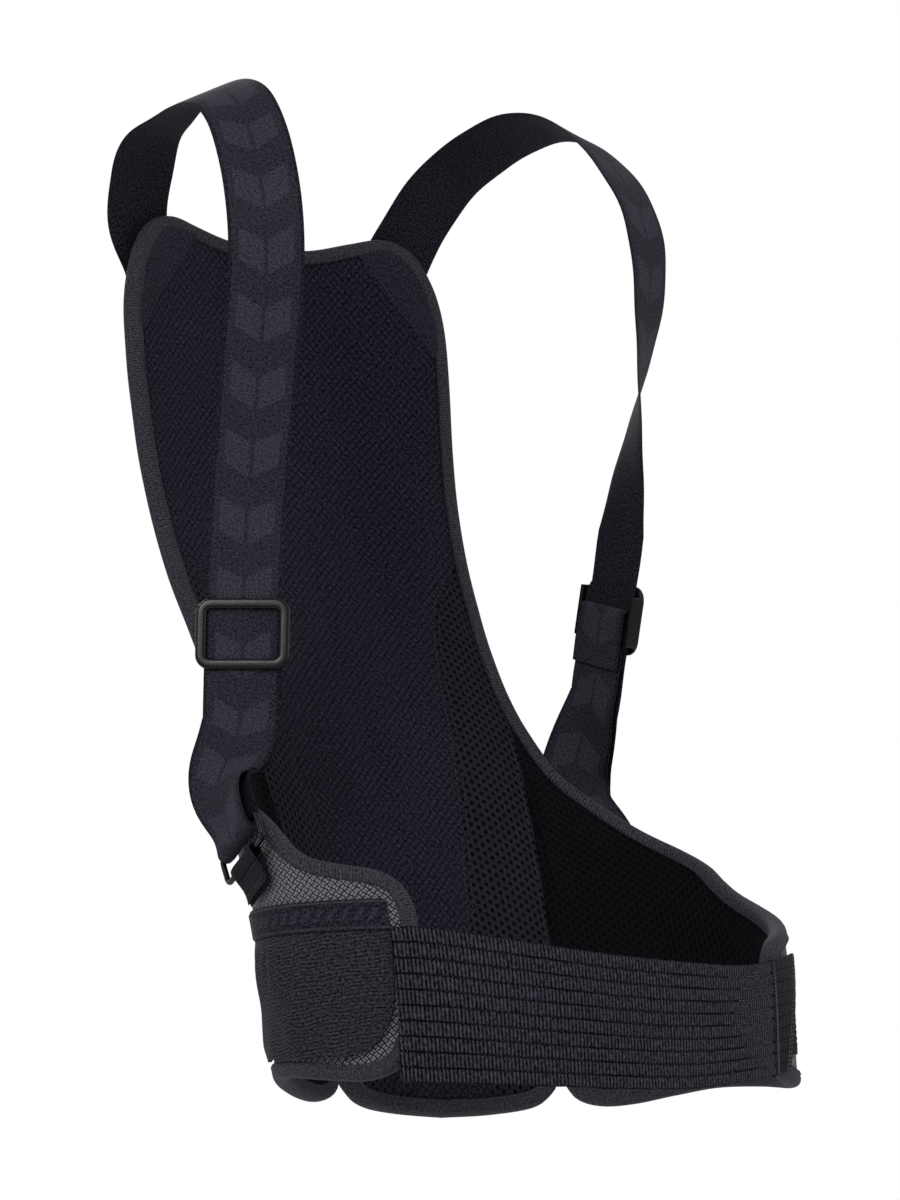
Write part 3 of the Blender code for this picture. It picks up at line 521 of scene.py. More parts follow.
def piece(name, points, faces, uvs, kind, bodyname="harness", stands_for=(), angle=50, crease=True):
    """A mesh piece; uvs are one pair for each point."""
    mesh = bpy.data.meshes.new(name)
    mesh.from_pydata([tuple(p) for p in points], [], [list(f) for f in faces])
    layer = mesh.uv_layers.new(name="UVMap")
    loops_to = np.empty(len(mesh.loops), np.int32)
    mesh.loops.foreach_get("vertex_index", loops_to)
    uvs = np.asarray(uvs, float)
    layer.data.foreach_set("uv", uvs[loops_to].astype(np.float32).ravel())
    mesh.shade_smooth()
    if crease:
        mesh.set_sharp_from_angle(angle=math.radians(angle))
    mesh.materials.append(LOOK[kind])
    obj = new_object(name, mesh)
    if bodyname:
        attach(obj, bodyname)
    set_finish(obj, SLOT[kind])
    if stands_for:
        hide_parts(*stands_for)
    return obj


def face_outward(mesh):
    bm = bmesh.new()
    bm.from_mesh(mesh)
    bmesh.ops.recalc_face_normals(bm, faces=bm.faces[:])
    bm.to_mesh(mesh)
    bm.free()


def cut_up(outline, cell):
    """A flat outline cut into cells."""
    bm = bmesh.new()
    bm.faces.new([bm.verts.new((s, z, 0.0)) for s, z in outline])
    low, high = outline.min(0), outline.max(0)
    for axis in (0, 1):
        normal = (1, 0, 0) if axis == 0 else (0, 1, 0)
        for k in range(int(low[axis] / cell) - 1, int(high[axis] / cell) + 2):
            spot = (k * cell, 0, 0) if axis == 0 else (0, k * cell, 0)
            geom = bm.verts[:] + bm.edges[:] + bm.faces[:]
            bmesh.ops.bisect_plane(bm, geom=geom, dist=2e-6, plane_co=spot, plane_no=normal)
    bmesh.ops.remove_doubles(bm, verts=bm.verts[:], dist=0.0002)
    bm.verts.index_update()
    pts = np.array([(v.co.x, v.co.y) for v in bm.verts])
    faces = [[v.index for v in f.verts] for f in bm.faces]
    bm.free()
    return pts, faces


def area_of(outline):
    x, y = outline[:, 0], outline[:, 1]
    return 0.5 * abs(float(np.dot(x, np.roll(y, -1)) - np.dot(y, np.roll(x, -1))))


def skin(name, outline, low, high, kind, stands_for=(), cell=0.006, across=False, mirrored=False,
         climb=True, gaps=None):
    """A layer of fabric between two lifts; across mirrors and joins a half at the spine."""
    pts, faces = cut_up(outline, cell)
    if gaps is not None:
        centres = np.array([pts[f].mean(0) for f in faces])
        keep = ~gaps(centres[:, 0], centres[:, 1])
        faces = [f for f, k in zip(faces, keep) if k]
    if across:
        twin, out = {}, [tuple(p) for p in pts]
        for k, (s, z) in enumerate(list(out)):
            if s < 1e-5:
                out[k], twin[k] = (0.0, z), k
            else:
                twin[k] = len(out)
                out.append((-s, z))
        faces = faces + [[twin[k] for k in reversed(f)] for f in faces]
        pts = np.array(out)
    if mirrored:
        pts = pts * [-1, 1]
        faces = [f[::-1] for f in faces]
    used = sorted({k for f in faces for k in f})
    place = {k: n for n, k in enumerate(used)}
    pts = pts[used]
    faces = [[place[k] for k in f] for f in faces]
    n = len(pts)
    a, b = at(pts[:, 0], pts[:, 1], low), at(pts[:, 0], pts[:, 1], high)
    # the flat pattern's faces run anticlockwise as seen from outside or from inside: find out which
    f = faces[0]
    turn = np.cross(b[f[1]] - b[f[0]], b[f[2]] - b[f[1]]) @ (b[f[0]] - a[f[0]])
    if turn < 0:
        faces = [f[::-1] for f in faces]
    open_edges, solid = {}, []
    for f in faces:
        solid += [[k + n for k in f], f[::-1]]
        for p, q in zip(f, f[1:] + f[:1]):
            if open_edges.pop((q, p), None) is None:
                open_edges[(p, q)] = True
    solid += [[p, q, q + n, p + n] for p, q in open_edges]
    v = np.interp(pts[:, 1], heights, climbs) if climb else pts[:, 1]
    uv = np.stack([pts[:, 0], v], -1)
    return piece(name, np.vstack([a, b]), solid, np.vstack([uv, uv]), kind, "harness", stands_for)


def cloth(obj, outline, halves=1):
    size = outline.max(0) - outline.min(0)
    tall = float(np.interp(outline[:, 1].max(), heights, climbs)
                 - np.interp(outline[:, 1].min(), heights, climbs))
    tall = tall if obj["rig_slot"] not in ("belt", "hem", "pocket") else float(size[1])
    area_of(outline) * halves * tall / float(size[1])


def both(name, outline, low, high, kind, nodes_of, **more):
    """The same piece on the wearer's two sides."""
    for side, mirrored in (("left", False), ("right", True)):
        obj = skin(name + "_" + side, outline, low, high, kind, [n + "_" + side for n in nodes_of],
                   mirrored=mirrored, **more)
        cloth(obj, outline)


STITCHES = {}


def sew(line, lift, mirror=False, **how):
    """Lockstitches along a line on the body."""
    for flip in ((1, -1) if mirror else (1,)):
        height = lift(line[:, 0], line[:, 1]) if callable(lift) else lift
        pts = at(line[:, 0] * flip, line[:, 1], height)
        ups = outward(line[:, 0] * flip, line[:, 1]) * (1 if float(np.mean(height)) > 0.004 else -1)
        sew_along(pts, ups, **how)


def sew_along(pts, ups, bodyname="harness", colour="thread", pitch=0.0036, length=0.0024,
              radius=0.00024, start=0.0):
    run = run_of(pts)
    spots = np.arange(start + pitch / 2, run[-1] - length / 2, pitch)
    if not len(spots):
        return
    verts, faces, base = STITCHES.setdefault((bodyname, colour), ([], [], []))
    sides, rings = 6, ((-1.0, -1.2, 0.35), (-0.6, 0.25, 1.0), (0.6, 0.25, 1.0), (1.0, -1.2, 0.35))

    def on(x, data):
        return np.stack([np.interp(x, run, data[:, k]) for k in range(3)], -1)

    for x in spots:
        a, b, up = on(x - length / 2, pts), on(x + length / 2, pts), on(x, ups)
        mid, half = (a + b) / 2, (b - a) / 2
        along = half / (np.linalg.norm(half) + 1e-12)
        up = up - (up @ along) * along
        up /= np.linalg.norm(up) + 1e-12
        side = np.cross(along, up)
        first = len(verts)
        for t, h, size in rings:
            for k in range(sides):
                w = 2 * math.pi * k / sides
                verts.append(mid + half * t + up * radius * (h + size * math.sin(w))
                             + side * radius * size * math.cos(w))
        for r in range(3):
            for k in range(sides):
                p, q = first + r * sides + k, first + r * sides + (k + 1) % sides
                faces.append([p, q, q + sides, p + sides])
        faces.append([first + k for k in reversed(range(sides))])
        faces.append([first + 3 * sides + k for k in range(sides)])


def straight(p, q, count):
    return np.linspace(np.array(p), np.array(q), count)


def stitch_pieces():
    for (bodyname, colour), (verts, faces, _) in STITCHES.items():
        pts = np.array(verts)
        uv = pts[:, [0, 2]]
        piece(f"stitches_{colour}_{bodyname}", pts, faces, uv, colour, bodyname, crease=False)


# ---------------------------------------------------------------- the panel and wings
TUCK = 0.0055                       # how far inside the rim the layers end
CELL_WIDTH, CELL_RISE = girth[-1] / 50, 0.025
VENT_CELLS = [(i, j) for i in (1, 3) for j in range(3 + i // 2, 19, 3)]


def rim_of(wing_edge):
    return path(TOP_EDGE + FLANK_EDGE[1:] + wing_edge + HEM_EDGE + TAIL_EDGE[1:])


rims = {"right": rim_of(RIGHT_WING), "left": rim_of(LEFT_WING)}
rim = rims["right"]
first, last = nearest(rim, FLANK_EDGE[-1]), nearest(rim, HEM_EDGE[1])
start, end = nearest(rims["left"], rim[first]), nearest(rims["left"], rim[last])
rims["left"] = np.vstack([rim[:first + 1], rims["left"][start + 1:end], rim[last:]])
under = on_middle(beside(rim, TUCK))
at_seam, at_notch = nearest(under, SEAM[0]), nearest(rim, TAIL_EDGE[0])
seam = path(SEAM)
liner_edge = path(LINER_EDGE, 0.006)
tail_under = under[at_notch + 2:]
panel = np.vstack([under[:at_seam], seam, tail_under])
wings = {}
for side_name, line in rims.items():
    tucked = on_middle(beside(line, TUCK))
    wings[side_name] = np.vstack([seam[::-1],
                                  tucked[at_seam + 1:nearest(line, TAIL_EDGE[0]) - 1]])
upper_rim = under[:at_seam]
upper_rim = upper_rim[upper_rim[:, 1] > 0.3475]
middle_rim = under[:at_seam]
middle_rim = middle_rim[middle_rim[:, 1] < 0.3435]
liner = np.vstack([upper_rim, liner_edge, tail_under[tail_under[:, 0] < 0.0345]])
side = np.vstack([middle_rim, seam, tail_under[tail_under[:, 0] > 0.0375], liner_edge[::-1][:-1]])


def wing_distance(s, z):
    """How far a point lies inside the wing on its side."""
    return np.where(s > 0, edge_distance(s, z, wings["left"]), edge_distance(s, z, wings["right"]))


def liner_face(s, z):
    d = edge_distance(s, z, liner)
    soft = ripple(s, z, 0.11, 1.0) * 0.0004 + ripple(s, z, 0.045, 3.0) * 0.00015
    return 0.0005 - 0.002 * smooth(d / 0.011) + soft * smooth(d / 0.02)


def side_face(s, z):
    d = edge_distance(s, z, side)
    return 0.0008 - 0.0024 * smooth(d / 0.009) + ripple(s, z, 0.05, 4.0) * 0.0005 * smooth(d / 0.02)


def wing_face(s, z):
    d = wing_distance(s, z)
    t = np.abs(s) - np.interp(z, seam[::-1, 1], seam[::-1, 0])
    pleat = smooth(t / 0.005) * (1 - smooth((t - 0.0085) / 0.0014))
    pleat *= smooth((z - 0.03) / 0.03) * (1 - smooth((z - 0.195) / 0.03))
    folds = ripple(np.abs(s) * 1.6, z, 0.055, 2.0) * 0.001 + ripple(s, z, 0.024, 5.0) * 0.0003
    return 0.0006 - 0.0018 * smooth(d / 0.01) - 0.0034 * pleat + folds * smooth(d / 0.03)


def cover_top(s, z):
    d = edge_distance(s, z, FOAM_LINE, True)
    groove = 0.001 * np.exp(-((d - 0.0015) / 0.0022) ** 2)
    dimple = 0
    for i, j in VENT_CELLS:
        u = (np.abs(s) - (i + 0.5) * CELL_WIDTH) / 0.0075
        v = (z - (j + 0.5) * CELL_RISE) / 0.0115
        dimple = dimple + 0.0011 * np.exp(-(u * u) ** 2 - (v * v) ** 2)
    return pad_top(s, z) + COVER - groove - dimple + ripple(s, z, 0.07, 6.0) * 0.0003


inner = skin("spine_liner", liner, liner_face, LINING, "liner", ["centre_liner"], across=True)
cloth(inner, liner, halves=2)
both("side_mesh_panel", side, side_face, LINING, "mesh", ["side_mesh"], cell=0.005)
back = skin("back_cover", panel, pad_top, cover_top, "cover", ["outer_cover"], across=True,
            cell=0.005)
cloth(back, panel, halves=2)


def shell_top(s, z):
    d = wing_distance(s, z)
    loft = 0.0009 * smooth(d / 0.02) * smooth((z - 0.118) / 0.02)
    return SHELL_TOP + COVER + loft + ripple(np.abs(s), z, 0.04, 2.5) * 0.0002


foam_wing = path(WING_FOAM, 0.006)[:-1]
for side_name, wing in wings.items():
    flipped = side_name == "right"
    cloth(skin("wing_lining_panel_" + side_name, wing, wing_face, LINING, "lining",
               ["wing_lining_" + side_name], cell=0.005, mirrored=flipped), wing)
    cloth(skin("wing_shell_panel_" + side_name, wing, SHELL_TOP, shell_top, "weave",
               ["wing_shell_" + side_name], mirrored=flipped), wing)
    pad = skin("wing_pad_" + side_name, foam_wing, LINING + 0.0005, SHELL_TOP - 0.0005, "foam",
               ["wing_foam_" + side_name], cell=0.012, mirrored=flipped)


def vents(s, z):
    return np.array([(int(abs(a) / CELL_WIDTH), int(b / CELL_RISE)) in VENT_CELLS
                     for a, b in zip(s, z)])


foam_half = on_middle(path(FOAM_EDGE, 0.006))
insert = skin("impact_insert", foam_half, LINING + 0.0004, lambda s, z: pad_top(s, z) - 0.0006,
              "foam", ["foam_insert"], across=True, cell=CELL_WIDTH / 3, gaps=vents)

# quilted corner patches
corner_line = under[:at_seam]
corner_line = corner_line[(corner_line[:, 0] > 0.06) & (corner_line[:, 1] > 0.484)]
corner_cut = path(mm(112.5, 480, 101, 497, 85, 515, 70, 534))
corner = np.vstack([corner_line, corner_cut])
QUILT = 0.0136


def quilted(s, z):
    a, b = (np.abs(s) + z) / QUILT, (np.abs(s) - z) / QUILT
    puff = np.sqrt(np.abs(np.sin(math.pi * a) * np.sin(math.pi * b)))
    d = edge_distance(s, z, corner)
    return -0.0014 - 0.0015 * puff * smooth(d / 0.004) - 0.0005 * smooth(d / 0.002)


both("quilted_patch", corner, quilted, -0.0009, "patch", ["corner_patch"], cell=0.0022)
for k in range(-40, 60):
    for sign in (1, -1):
        ss = np.linspace(0.06, 0.125, 66)
        line = np.stack([ss, sign * (k * QUILT - ss)], -1)
        line = line[inside(line[:, 0], line[:, 1], corner)]
        if len(line) > 6:
            sew(line[1:-1], -0.0019, mirror=True, pitch=0.003, length=0.0022, radius=0.0002)
sew(corner_cut + [0.0006, 0.0018], -0.0022, mirror=True)
sew(corner_cut + [0.0022, 0.0046], -0.0024, mirror=True)

# the folded tape round the rim: one closed loop
PROFILE = mm(8.6, 0.4, 8.4, -1.4, 7.4, -2, 6.2, -1.8, 4, -2.2, 2, -1.9, 0.6, -1, -0.3, 0.6,
             -0.7, 2.6, -0.7, 4.4, -0.3, 6.2, 0.7, 7.8, 2.2, 8.6, 4.2, 8.9, 6.2, 8.6, 7.4, 8.8,
             8.4, 8.3, 8.6, 6.6)
loop = np.vstack([rims["left"], rim[-2:0:-1] * [-1, 1]])
tangent = unit_rows(eased(np.roll(loop, -1, 0) - np.roll(loop, 1, 0), True))
inward = np.stack([tangent[:, 1], -tangent[:, 0]], -1)
run = run_of(loop)
tape_pts, tape_uv = [], []
prof = np.array(PROFILE)
prof_run = run_of(prof)
for (b, h), w in zip(PROFILE, prof_run):
    spot = loop + inward * b
    pucker = 0.00022 * np.sin(run * 2 * math.pi / 0.0036) if 0.005 < b < 0.008 else 0.0
    soft = ripple(spot[:, 0], spot[:, 1], 0.05, 7.0) * 0.00025
    tape_pts.append(at(spot[:, 0], spot[:, 1], h + pucker + soft))
    tape_uv.append(np.stack([run, np.full(len(run), w)], -1))
n, m = len(loop), len(PROFILE)
tape_faces = []
for j in range(m):
    for i in range(n):
        i2, j2 = (i + 1) % n, (j + 1) % m
        tape_faces.append([j * n + i, j2 * n + i, j2 * n + i2, j * n + i2])
binding_nodes = ["binding_top", "binding_tail", "binding_flank_left", "binding_flank_right",
                 "binding_hem_left", "binding_hem_right"]
piece("rim_binding", np.vstack(tape_pts), tape_faces, np.vstack(tape_uv), "binding",
      stands_for=binding_nodes, angle=70)
for b, lift in ((0.0068, -0.002), (0.0068, 0.0089)):
    line = loop + inward * b
    pts = at(line[:, 0], line[:, 1], lift)
    ups = outward(line[:, 0], line[:, 1]) * (1 if lift > 0 else -1)
    sew_along(np.vstack([pts, pts[:1]]), np.vstack([ups, ups[:1]]))
for d, lift in ((0.002, 0.0006), (-0.002, 0.001)):
    sew(beside(liner_edge, d)[2:-2], lift - 0.001, mirror=True)
sew(beside(seam, 0.0025)[2:-3], 0.0002, mirror=True)
sew(straight((0.047, 0.05), (0.047, 0.47), 120), cover_top, mirror=True)
foam_seam = path(FOAM_EDGE, 0.004)[1:-1]
sew(beside(foam_seam, 0.0015), cover_top, mirror=True)
sew(beside(seam, 0.0022)[2:-3], cover_top, mirror=True)
sew(beside(seam, -0.0022)[2:-3], shell_top, mirror=True)


# ---------------------------------------------------------------- pockets, loop panel, belt
def slab(s0, s1, z0, z1, radius, top_radius=0.002):
    """A rectangle with rounded corners."""
    out = []
    for cs, cz, r, first, last in ((s0, z1, top_radius, 180, 90), (s1, z1, top_radius, 90, 0),
                                   (s1, z0, radius, 0, -90), (s0, z0, radius, 270, 180)):
        ms = cs + r if cs == s0 else cs - r
        mz = cz + r if cz == z0 else cz - r
        for a in np.linspace(math.radians(first), math.radians(last), 9):
            out.append((ms + r * math.cos(a), mz + r * math.sin(a)))
    return np.array(out)


def dense(outline, step=0.003):
    """The same closed outline with long edges divided."""
    out = []
    for p, q in zip(outline, np.roll(outline, -1, 0)):
        k = max(1, int(np.linalg.norm(q - p) / step))
        out += [p + (q - p) * t for t in np.linspace(0, 1, k, endpoint=False)]
    return np.array(out)


POCKETS = {"right": (0.158, 0.2794, path(mm(279.4, 95.5, 278.5, 60, 274, 42, 264, 30, 248, 25,
                                            220, 25.5, 199.5, 26.5, 165, 26.5, 159, 30, 158, 40,
                                            158, 95.5))),
           "left": (0.12, 0.212, slab(0.12, 0.212, 0.0265, 0.0955, 0.012))}
for side_name, (s0, s1, shape) in POCKETS.items():
    flipped = side_name == "right"
    bag = dense(shape)

    def swell(s, z):
        s = np.abs(s)
        u, v = (s - s0) / (s1 - s0), (z - 0.016) / 0.08
        hump = np.clip(4 * u * (1 - u), 0, 1) * np.clip(4 * v * (1 - v), 0, 1)
        d = edge_distance(s, z, bag)
        gather = np.sin(s * 2 * math.pi / 0.0105 + 2.0 * np.sin(s * 90))
        gather = gather * smooth((z - 0.045) / 0.05)
        folds = ripple(s, z * 0.6, 0.03, 3.3) * 0.001 + gather * 0.0007
        return SHELL_TOP + COVER + 0.0004 + 0.0044 * np.sqrt(hump) + folds * smooth(d / 0.01)

    def bag_face(s, z):
        return swell(s, z) + COVER

    pouch = skin("pocket_" + side_name, bag, swell, bag_face, "pocket",
                 ["pocket_body_" + side_name], cell=0.003, mirrored=flipped, climb=False)
    cloth(pouch, bag)
    band = dense(slab(s0, s1, 0.0962, 0.1135, 0.0015, 0.0015))

    def band_top(s, z):
        d = edge_distance(s, z, band)
        rib = 0.00015 * np.sin(np.abs(s) * 2 * math.pi / 0.02)
        return 0.0086 + 0.001 * smooth(d / 0.0016) + rib

    strip = skin("pocket_band_" + side_name, band, 0.0072, band_top, "hem",
                 ["pocket_hem_" + side_name], cell=0.003, mirrored=flipped, climb=False)
    cloth(strip, band)
    flip = -1 if flipped else 1
    for z in (0.0982, 0.1115):
        row = straight(((s0 + 0.002) * flip, z), ((s1 - 0.002) * flip, z), 90)
        sew(row, 0.0096, pitch=0.0028, length=0.0019, radius=0.0002)
    for x in (s0 + 0.0016, s1 - 0.0016):
        row = straight((x * flip, 0.034), (x * flip, 0.094), 40)
        sew(row, bag_face)

pile = dense(slab(0.268, 0.3015, 0.032, 0.084, 0.004, 0.004))
landing = skin("loop_pile", pile, 0.0071,
               lambda s, z: 0.0079 + ripple(s, z, 0.004, 1.0) * 0.00012,
               "hook", ["loop_panel"], cell=0.003, climb=False)
cloth(landing, pile)
edge_line = dense(slab(0.2705, 0.299, 0.0345, 0.0815, 0.003, 0.003))
sew(np.vstack([edge_line, edge_line[:1]]), 0.008)

belt_top = spline(mm(274, 98.5, 300, 96.6, 330, 92.2, 369, 86.8, 409, 82.8, 460, 80.2, 500, 80.5,
                     535, 85, 575, 92.5))
belt_bottom = spline(mm(274, 10.8, 366, 9.3, 407, 8.5, 459, 9.8, 498, 14.5, 540, 20, 575, 24))
CHANNELS = 10


def belt_height(s, t, trim=0.0):
    """The height t of the way from the belt's lower edge (-1) to its upper edge (1)."""
    low, top = belt_bottom(s) + trim, belt_top(s) - trim
    return low + (t + 1) / 2 * (top - low)


def belt_sheet(name, s0, s1, low, thick, kind, bodyname, stands_for, trim=0.0, relief=0.0,
               slant=0.0, taper=(0, 0), step=0.0018, rows=80):
    """A length of belt on the wearer's right side, its channels puffed on both faces."""
    ss = np.linspace(s0, s1, max(4, int((s1 - s0) / step) + 1))
    ts = np.linspace(-1, 1, rows + 1)
    grid_s, grid_t = np.meshgrid(ss, ts, indexing="ij")
    s, t = grid_s.ravel(), grid_t.ravel()
    edge_wave = 0.00012 * np.sin(s * 2 * math.pi / 0.0115) * t**2
    z = belt_height(s, t, trim) + edge_wave
    run = s + slant * (s - s0) / (s1 - s0) * t
    puff = np.abs(np.sin(math.pi * CHANNELS * (t + 1) / 2)) ** 0.6 * relief
    first, last = s - s0 + 1.0 * (not taper[0]), s1 - s + 1.0 * (not taper[1])
    ends = smooth(np.minimum(first, last) / 0.004)
    puff = puff * ends
    edge_soft = (1 - smooth((1 - np.abs(t)) / 0.03)) * thick * 0.35
    edge_soft = edge_soft + (1 - smooth(np.minimum(first, last) / 0.002)) * thick * 0.3
    roll = 0.0003 * np.sin(s * 2 * math.pi / 0.09 + t * 2.0) * ends
    lo = at(-run, z, low - puff * 0.6 + edge_soft + roll)
    hi = at(-run, z, low + thick + puff - edge_soft + roll)
    ns, nt, n = len(ss), len(ts), len(s)
    faces = []

    def side_face(p, q, forward):
        faces.append([p, q, q + n, p + n] if forward else [p + n, q + n, q, p])

    for i in range(ns - 1):
        for j in range(nt - 1):
            q = [i * nt + j, (i + 1) * nt + j, (i + 1) * nt + j + 1, i * nt + j + 1]
            faces += [[k + n for k in q[::-1]], q]
    for i in range(ns - 1):
        for j in (0, nt - 1):
            side_face(i * nt + j, (i + 1) * nt + j, j > 0)
    for j in range(nt - 1):
        for i in (0, ns - 1):
            side_face(i * nt + j, i * nt + j + 1, i == 0)
    uv = np.stack([s, t * 0.04], -1)
    obj = piece(name, np.vstack([lo, hi]), faces, np.vstack([uv, uv]), kind, bodyname, stands_for,
                angle=60)
    face_outward(obj.data)
    high = float(np.mean(belt_top(ss) - belt_bottom(ss))) - 2 * trim
    return obj


def on_belt(s, t, lift):
    z = belt_height(s, t)
    return at(-s, z, lift), outward(-s, z)


belt_sheet("waist_belt", BELT_START, BELT_END, BELT_LOW, BELT_THICKNESS, "belt", "belt",
           ["belt_elastic"], 0.0, 0.0006, taper=(1, 0))
belt_sheet("belt_anchor_piece", 0.28, 0.287, ANCHOR_LOW, 0.0031, "belt", "harness", ["belt_anchor"],
           0.0005, 0.0005, taper=(0, 1))
belt_sheet("belt_end_tab", BELT_END + 0.0008, TAB_END, BELT_LOW, BELT_THICKNESS, "tab", "belt_end",
           ["belt_tab"], -0.001, 0.00015, TAB_SLANT)
belt_sheet("hook_patch", BELT_END + 0.0012, TAB_END - 0.0008, ANCHOR_LOW, 0.0008, "hook",
           "belt_end", ["hook_pad"], 0.002, 0.0, TAB_SLANT)
# short folds that carry the fabric over the belt's two hinges
for name, a, b, seam_at, before, after in (
        ("belt_seam_fold", "harness", "belt", BELT_START, 0.0024, 0.0022),
        ("tab_seam_fold", "belt", "belt_end", BELT_END, 0.002, 0.0028)):
    s0, s1 = seam_at - before, seam_at + after
    fold = belt_sheet(name, s0, s1, 0.0097, 0.0014, "belt", None, [], 0.0004, step=0.0004)
    ends = [at(np.array([-x]), belt_height(np.array([x]), 0.0), 0.0104)[0]
            for x in (s0 + 0.0014, s1 - 0.0014)]
    tuple(ends[0])
    tuple(ends[1])
    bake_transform(fold)
for k in range(1, CHANNELS):
    t = 2 * k / CHANNELS - 1
    turn_pale = BELT_END - 0.034 - 0.01 * ((k * 7) % 4) / 3
    for s0, s1, colour in ((BELT_START + 0.004, turn_pale, "thread"),
                           (turn_pale, BELT_END - 0.001, "pale")):
        ss = np.linspace(s0, s1, 160)
        for lift, way in ((BELT_TOP + 0.0001, 1), (BELT_LOW - 0.0001, -1)):
            pts, ups = on_belt(ss, t, lift)
            sew_along(pts, ups * way, "belt", colour, 0.0032, 0.0021, 0.00013,
                      start=0.0007 * (k % 4))
for s in (0.2818, 0.2842):
    tt = np.linspace(-0.96, 0.96, 60)
    pts, ups = on_belt(np.full(60, s), tt, 0.0117)
    sew_along(pts, ups, "harness", "thread", 0.003, 0.0021, 0.0002)
tt = np.linspace(-0.98, 0.98, 61)
zig = BELT_END + 0.0045 + 0.0016 * np.where(np.arange(61) % 2 == 0, 1, -1)
pts, ups = on_belt(zig, tt, BELT_TOP + 0.0003)
sew_along(pts, ups, "belt_end", "pale", 0.0024, 0.002, 0.00014)
for back_off in (0.0028, 0.0062):
    tt = np.linspace(-0.97, 0.97, 60)
    pts, ups = on_belt(TAB_END - back_off + TAB_SLANT * tt, tt, BELT_TOP + 0.0003)
    sew_along(pts, ups, "belt_end", "pale", 0.0027, 0.0018, 0.00015)


# ---------------------------------------------------------------- straps and fittings
def unit(v):
    v = np.array(v, float)
    return v / np.linalg.norm(v)


def frame_at(origin, down, out):
    """Axes of a webbing fitting: across, down the strap, outward."""
    down = unit(down)
    out = unit(np.array(out) - np.dot(out, down) * down)
    return np.array(origin, float), np.cross(out, down), down, out


def put(frame, w, l, n):
    o, a, d, u = frame
    return o + a * w + d * l + u * n


def through(stations, step):
    """Stations of (centre, outward) resampled along a smooth line."""
    p = np.array([list(a) + list(unit(b)) for a, b in stations], float)
    along = run_of(p[:, :3])
    curves = [spline(list(zip(along, p[:, k]))) for k in range(6)]
    spots = np.linspace(0, along[-1], int(along[-1] / step) + 1)
    q = np.stack([c(spots) for c in curves], -1)
    return q[:, :3], q[:, 3:]


def across_of(centres, outs):
    return np.cross(outs, unit_rows(np.gradient(centres, axis=0)))


def webbing(name, stations, width, thick, out, kind="webbing", bodyname="harness", stands_for=(),
            columns=11):
    """A flat strap through stations of (centre, width direction). out points off its outer face."""
    mid = np.array([p for p, _ in stations], float)
    wide = np.array([w for _, w in stations], float)
    d = unit_rows(np.gradient(mid, axis=0))
    wide = unit_rows(wide - (wide * d).sum(1, keepdims=True) * d)
    up = np.cross(d, wide)
    face = 1.0 if np.dot(up[0], out) > 0 else -1.0
    along = run_of(mid)
    xs = np.sin(np.linspace(-math.pi / 2, math.pi / 2, columns))
    soft = thick / 2 * (1 - np.abs(xs) ** 10 * 0.75)
    pts, uv = [], []
    for sign, order in ((1.0, range(columns)), (-1.0, reversed(range(columns)))):
        for k in order:
            wobble = 0.00025 * np.sin(along * 2 * math.pi / 0.043 + xs[k] * 2.0)
            off = sign * face * soft[k] + wobble
            pts.append(mid + wide * (xs[k] * width / 2) + up * np.asarray(off)[:, None])
            u = (xs[k] * 0.5 + 0.5) * WEBBING_WIDTH
            uv.append(np.stack([np.full(len(mid), u + (0.0 if sign > 0 else 0.1)), along], -1))
    rings, n = len(pts), len(mid)
    faces = []
    for r in range(rings):
        for i in range(n - 1):
            r2 = (r + 1) % rings
            faces.append([r * n + i, r2 * n + i, r2 * n + i + 1, r * n + i + 1])
    for i in (0, n - 1):
        for k in range(columns - 1):
            low, high = rings - 1 - k, rings - 2 - k
            faces.append([k * n + i, (k + 1) * n + i, high * n + i, low * n + i])
    obj = piece(name, np.vstack(pts), faces, np.vstack(uv), kind, bodyname, stands_for, angle=60)
    face_outward(obj.data)
    return obj, float(along[-1])


def rounded_loop(frame, hw, hl, radius, n=0.0, steps=7):
    """A closed rounded rectangle in a fitting's frame: its points."""
    out = []
    for sw, sl, a0 in ((1, 1, 0), (-1, 1, 90), (-1, -1, 180), (1, -1, 270)):
        for a in np.linspace(math.radians(a0), math.radians(a0 + 90), steps):
            out.append((sw * (hw - radius) + radius * math.cos(a),
                        sl * (hl - radius) + radius * math.sin(a)))
    flat = dense(np.array(out), 0.002)
    return np.array([put(frame, w, l, n) for w, l in flat])


def bar_mesh(line, up, wide, high, closed=True, sides=14, square=0.6):
    """Points and faces of a moulded bar along a line; its section is a soft-cornered box."""
    step = (np.roll(line, -1, 0) - np.roll(line, 1, 0)) if closed else np.gradient(line, axis=0)
    side = unit_rows(np.cross(unit_rows(step), up))
    angles = np.linspace(0, 2 * math.pi, sides, endpoint=False)
    ca, sa = np.cos(angles), np.sin(angles)
    x = np.sign(ca) * np.abs(ca) ** square * wide / 2
    y = np.sign(sa) * np.abs(sa) ** square * high / 2
    pts = line[:, None] + side[:, None] * x[None, :, None] + np.asarray(up) * y[None, :, None]
    n = len(line)
    faces = []
    for i in range(n if closed else n - 1):
        for k in range(sides):
            i2, k2 = (i + 1) % n, (k + 1) % sides
            faces.append([i * sides + k, i2 * sides + k, i2 * sides + k2, i * sides + k2])
    if not closed:
        faces.append(list(range(sides))[::-1])
        faces.append([(n - 1) * sides + k for k in range(sides)])
    return pts.reshape(-1, 3), faces


def gather(parts):
    pts, faces, base = [], [], 0
    for p, f in parts:
        pts.append(p)
        faces += [[k + base for k in q] for q in f]
        base += len(p)
    return np.vstack(pts), faces


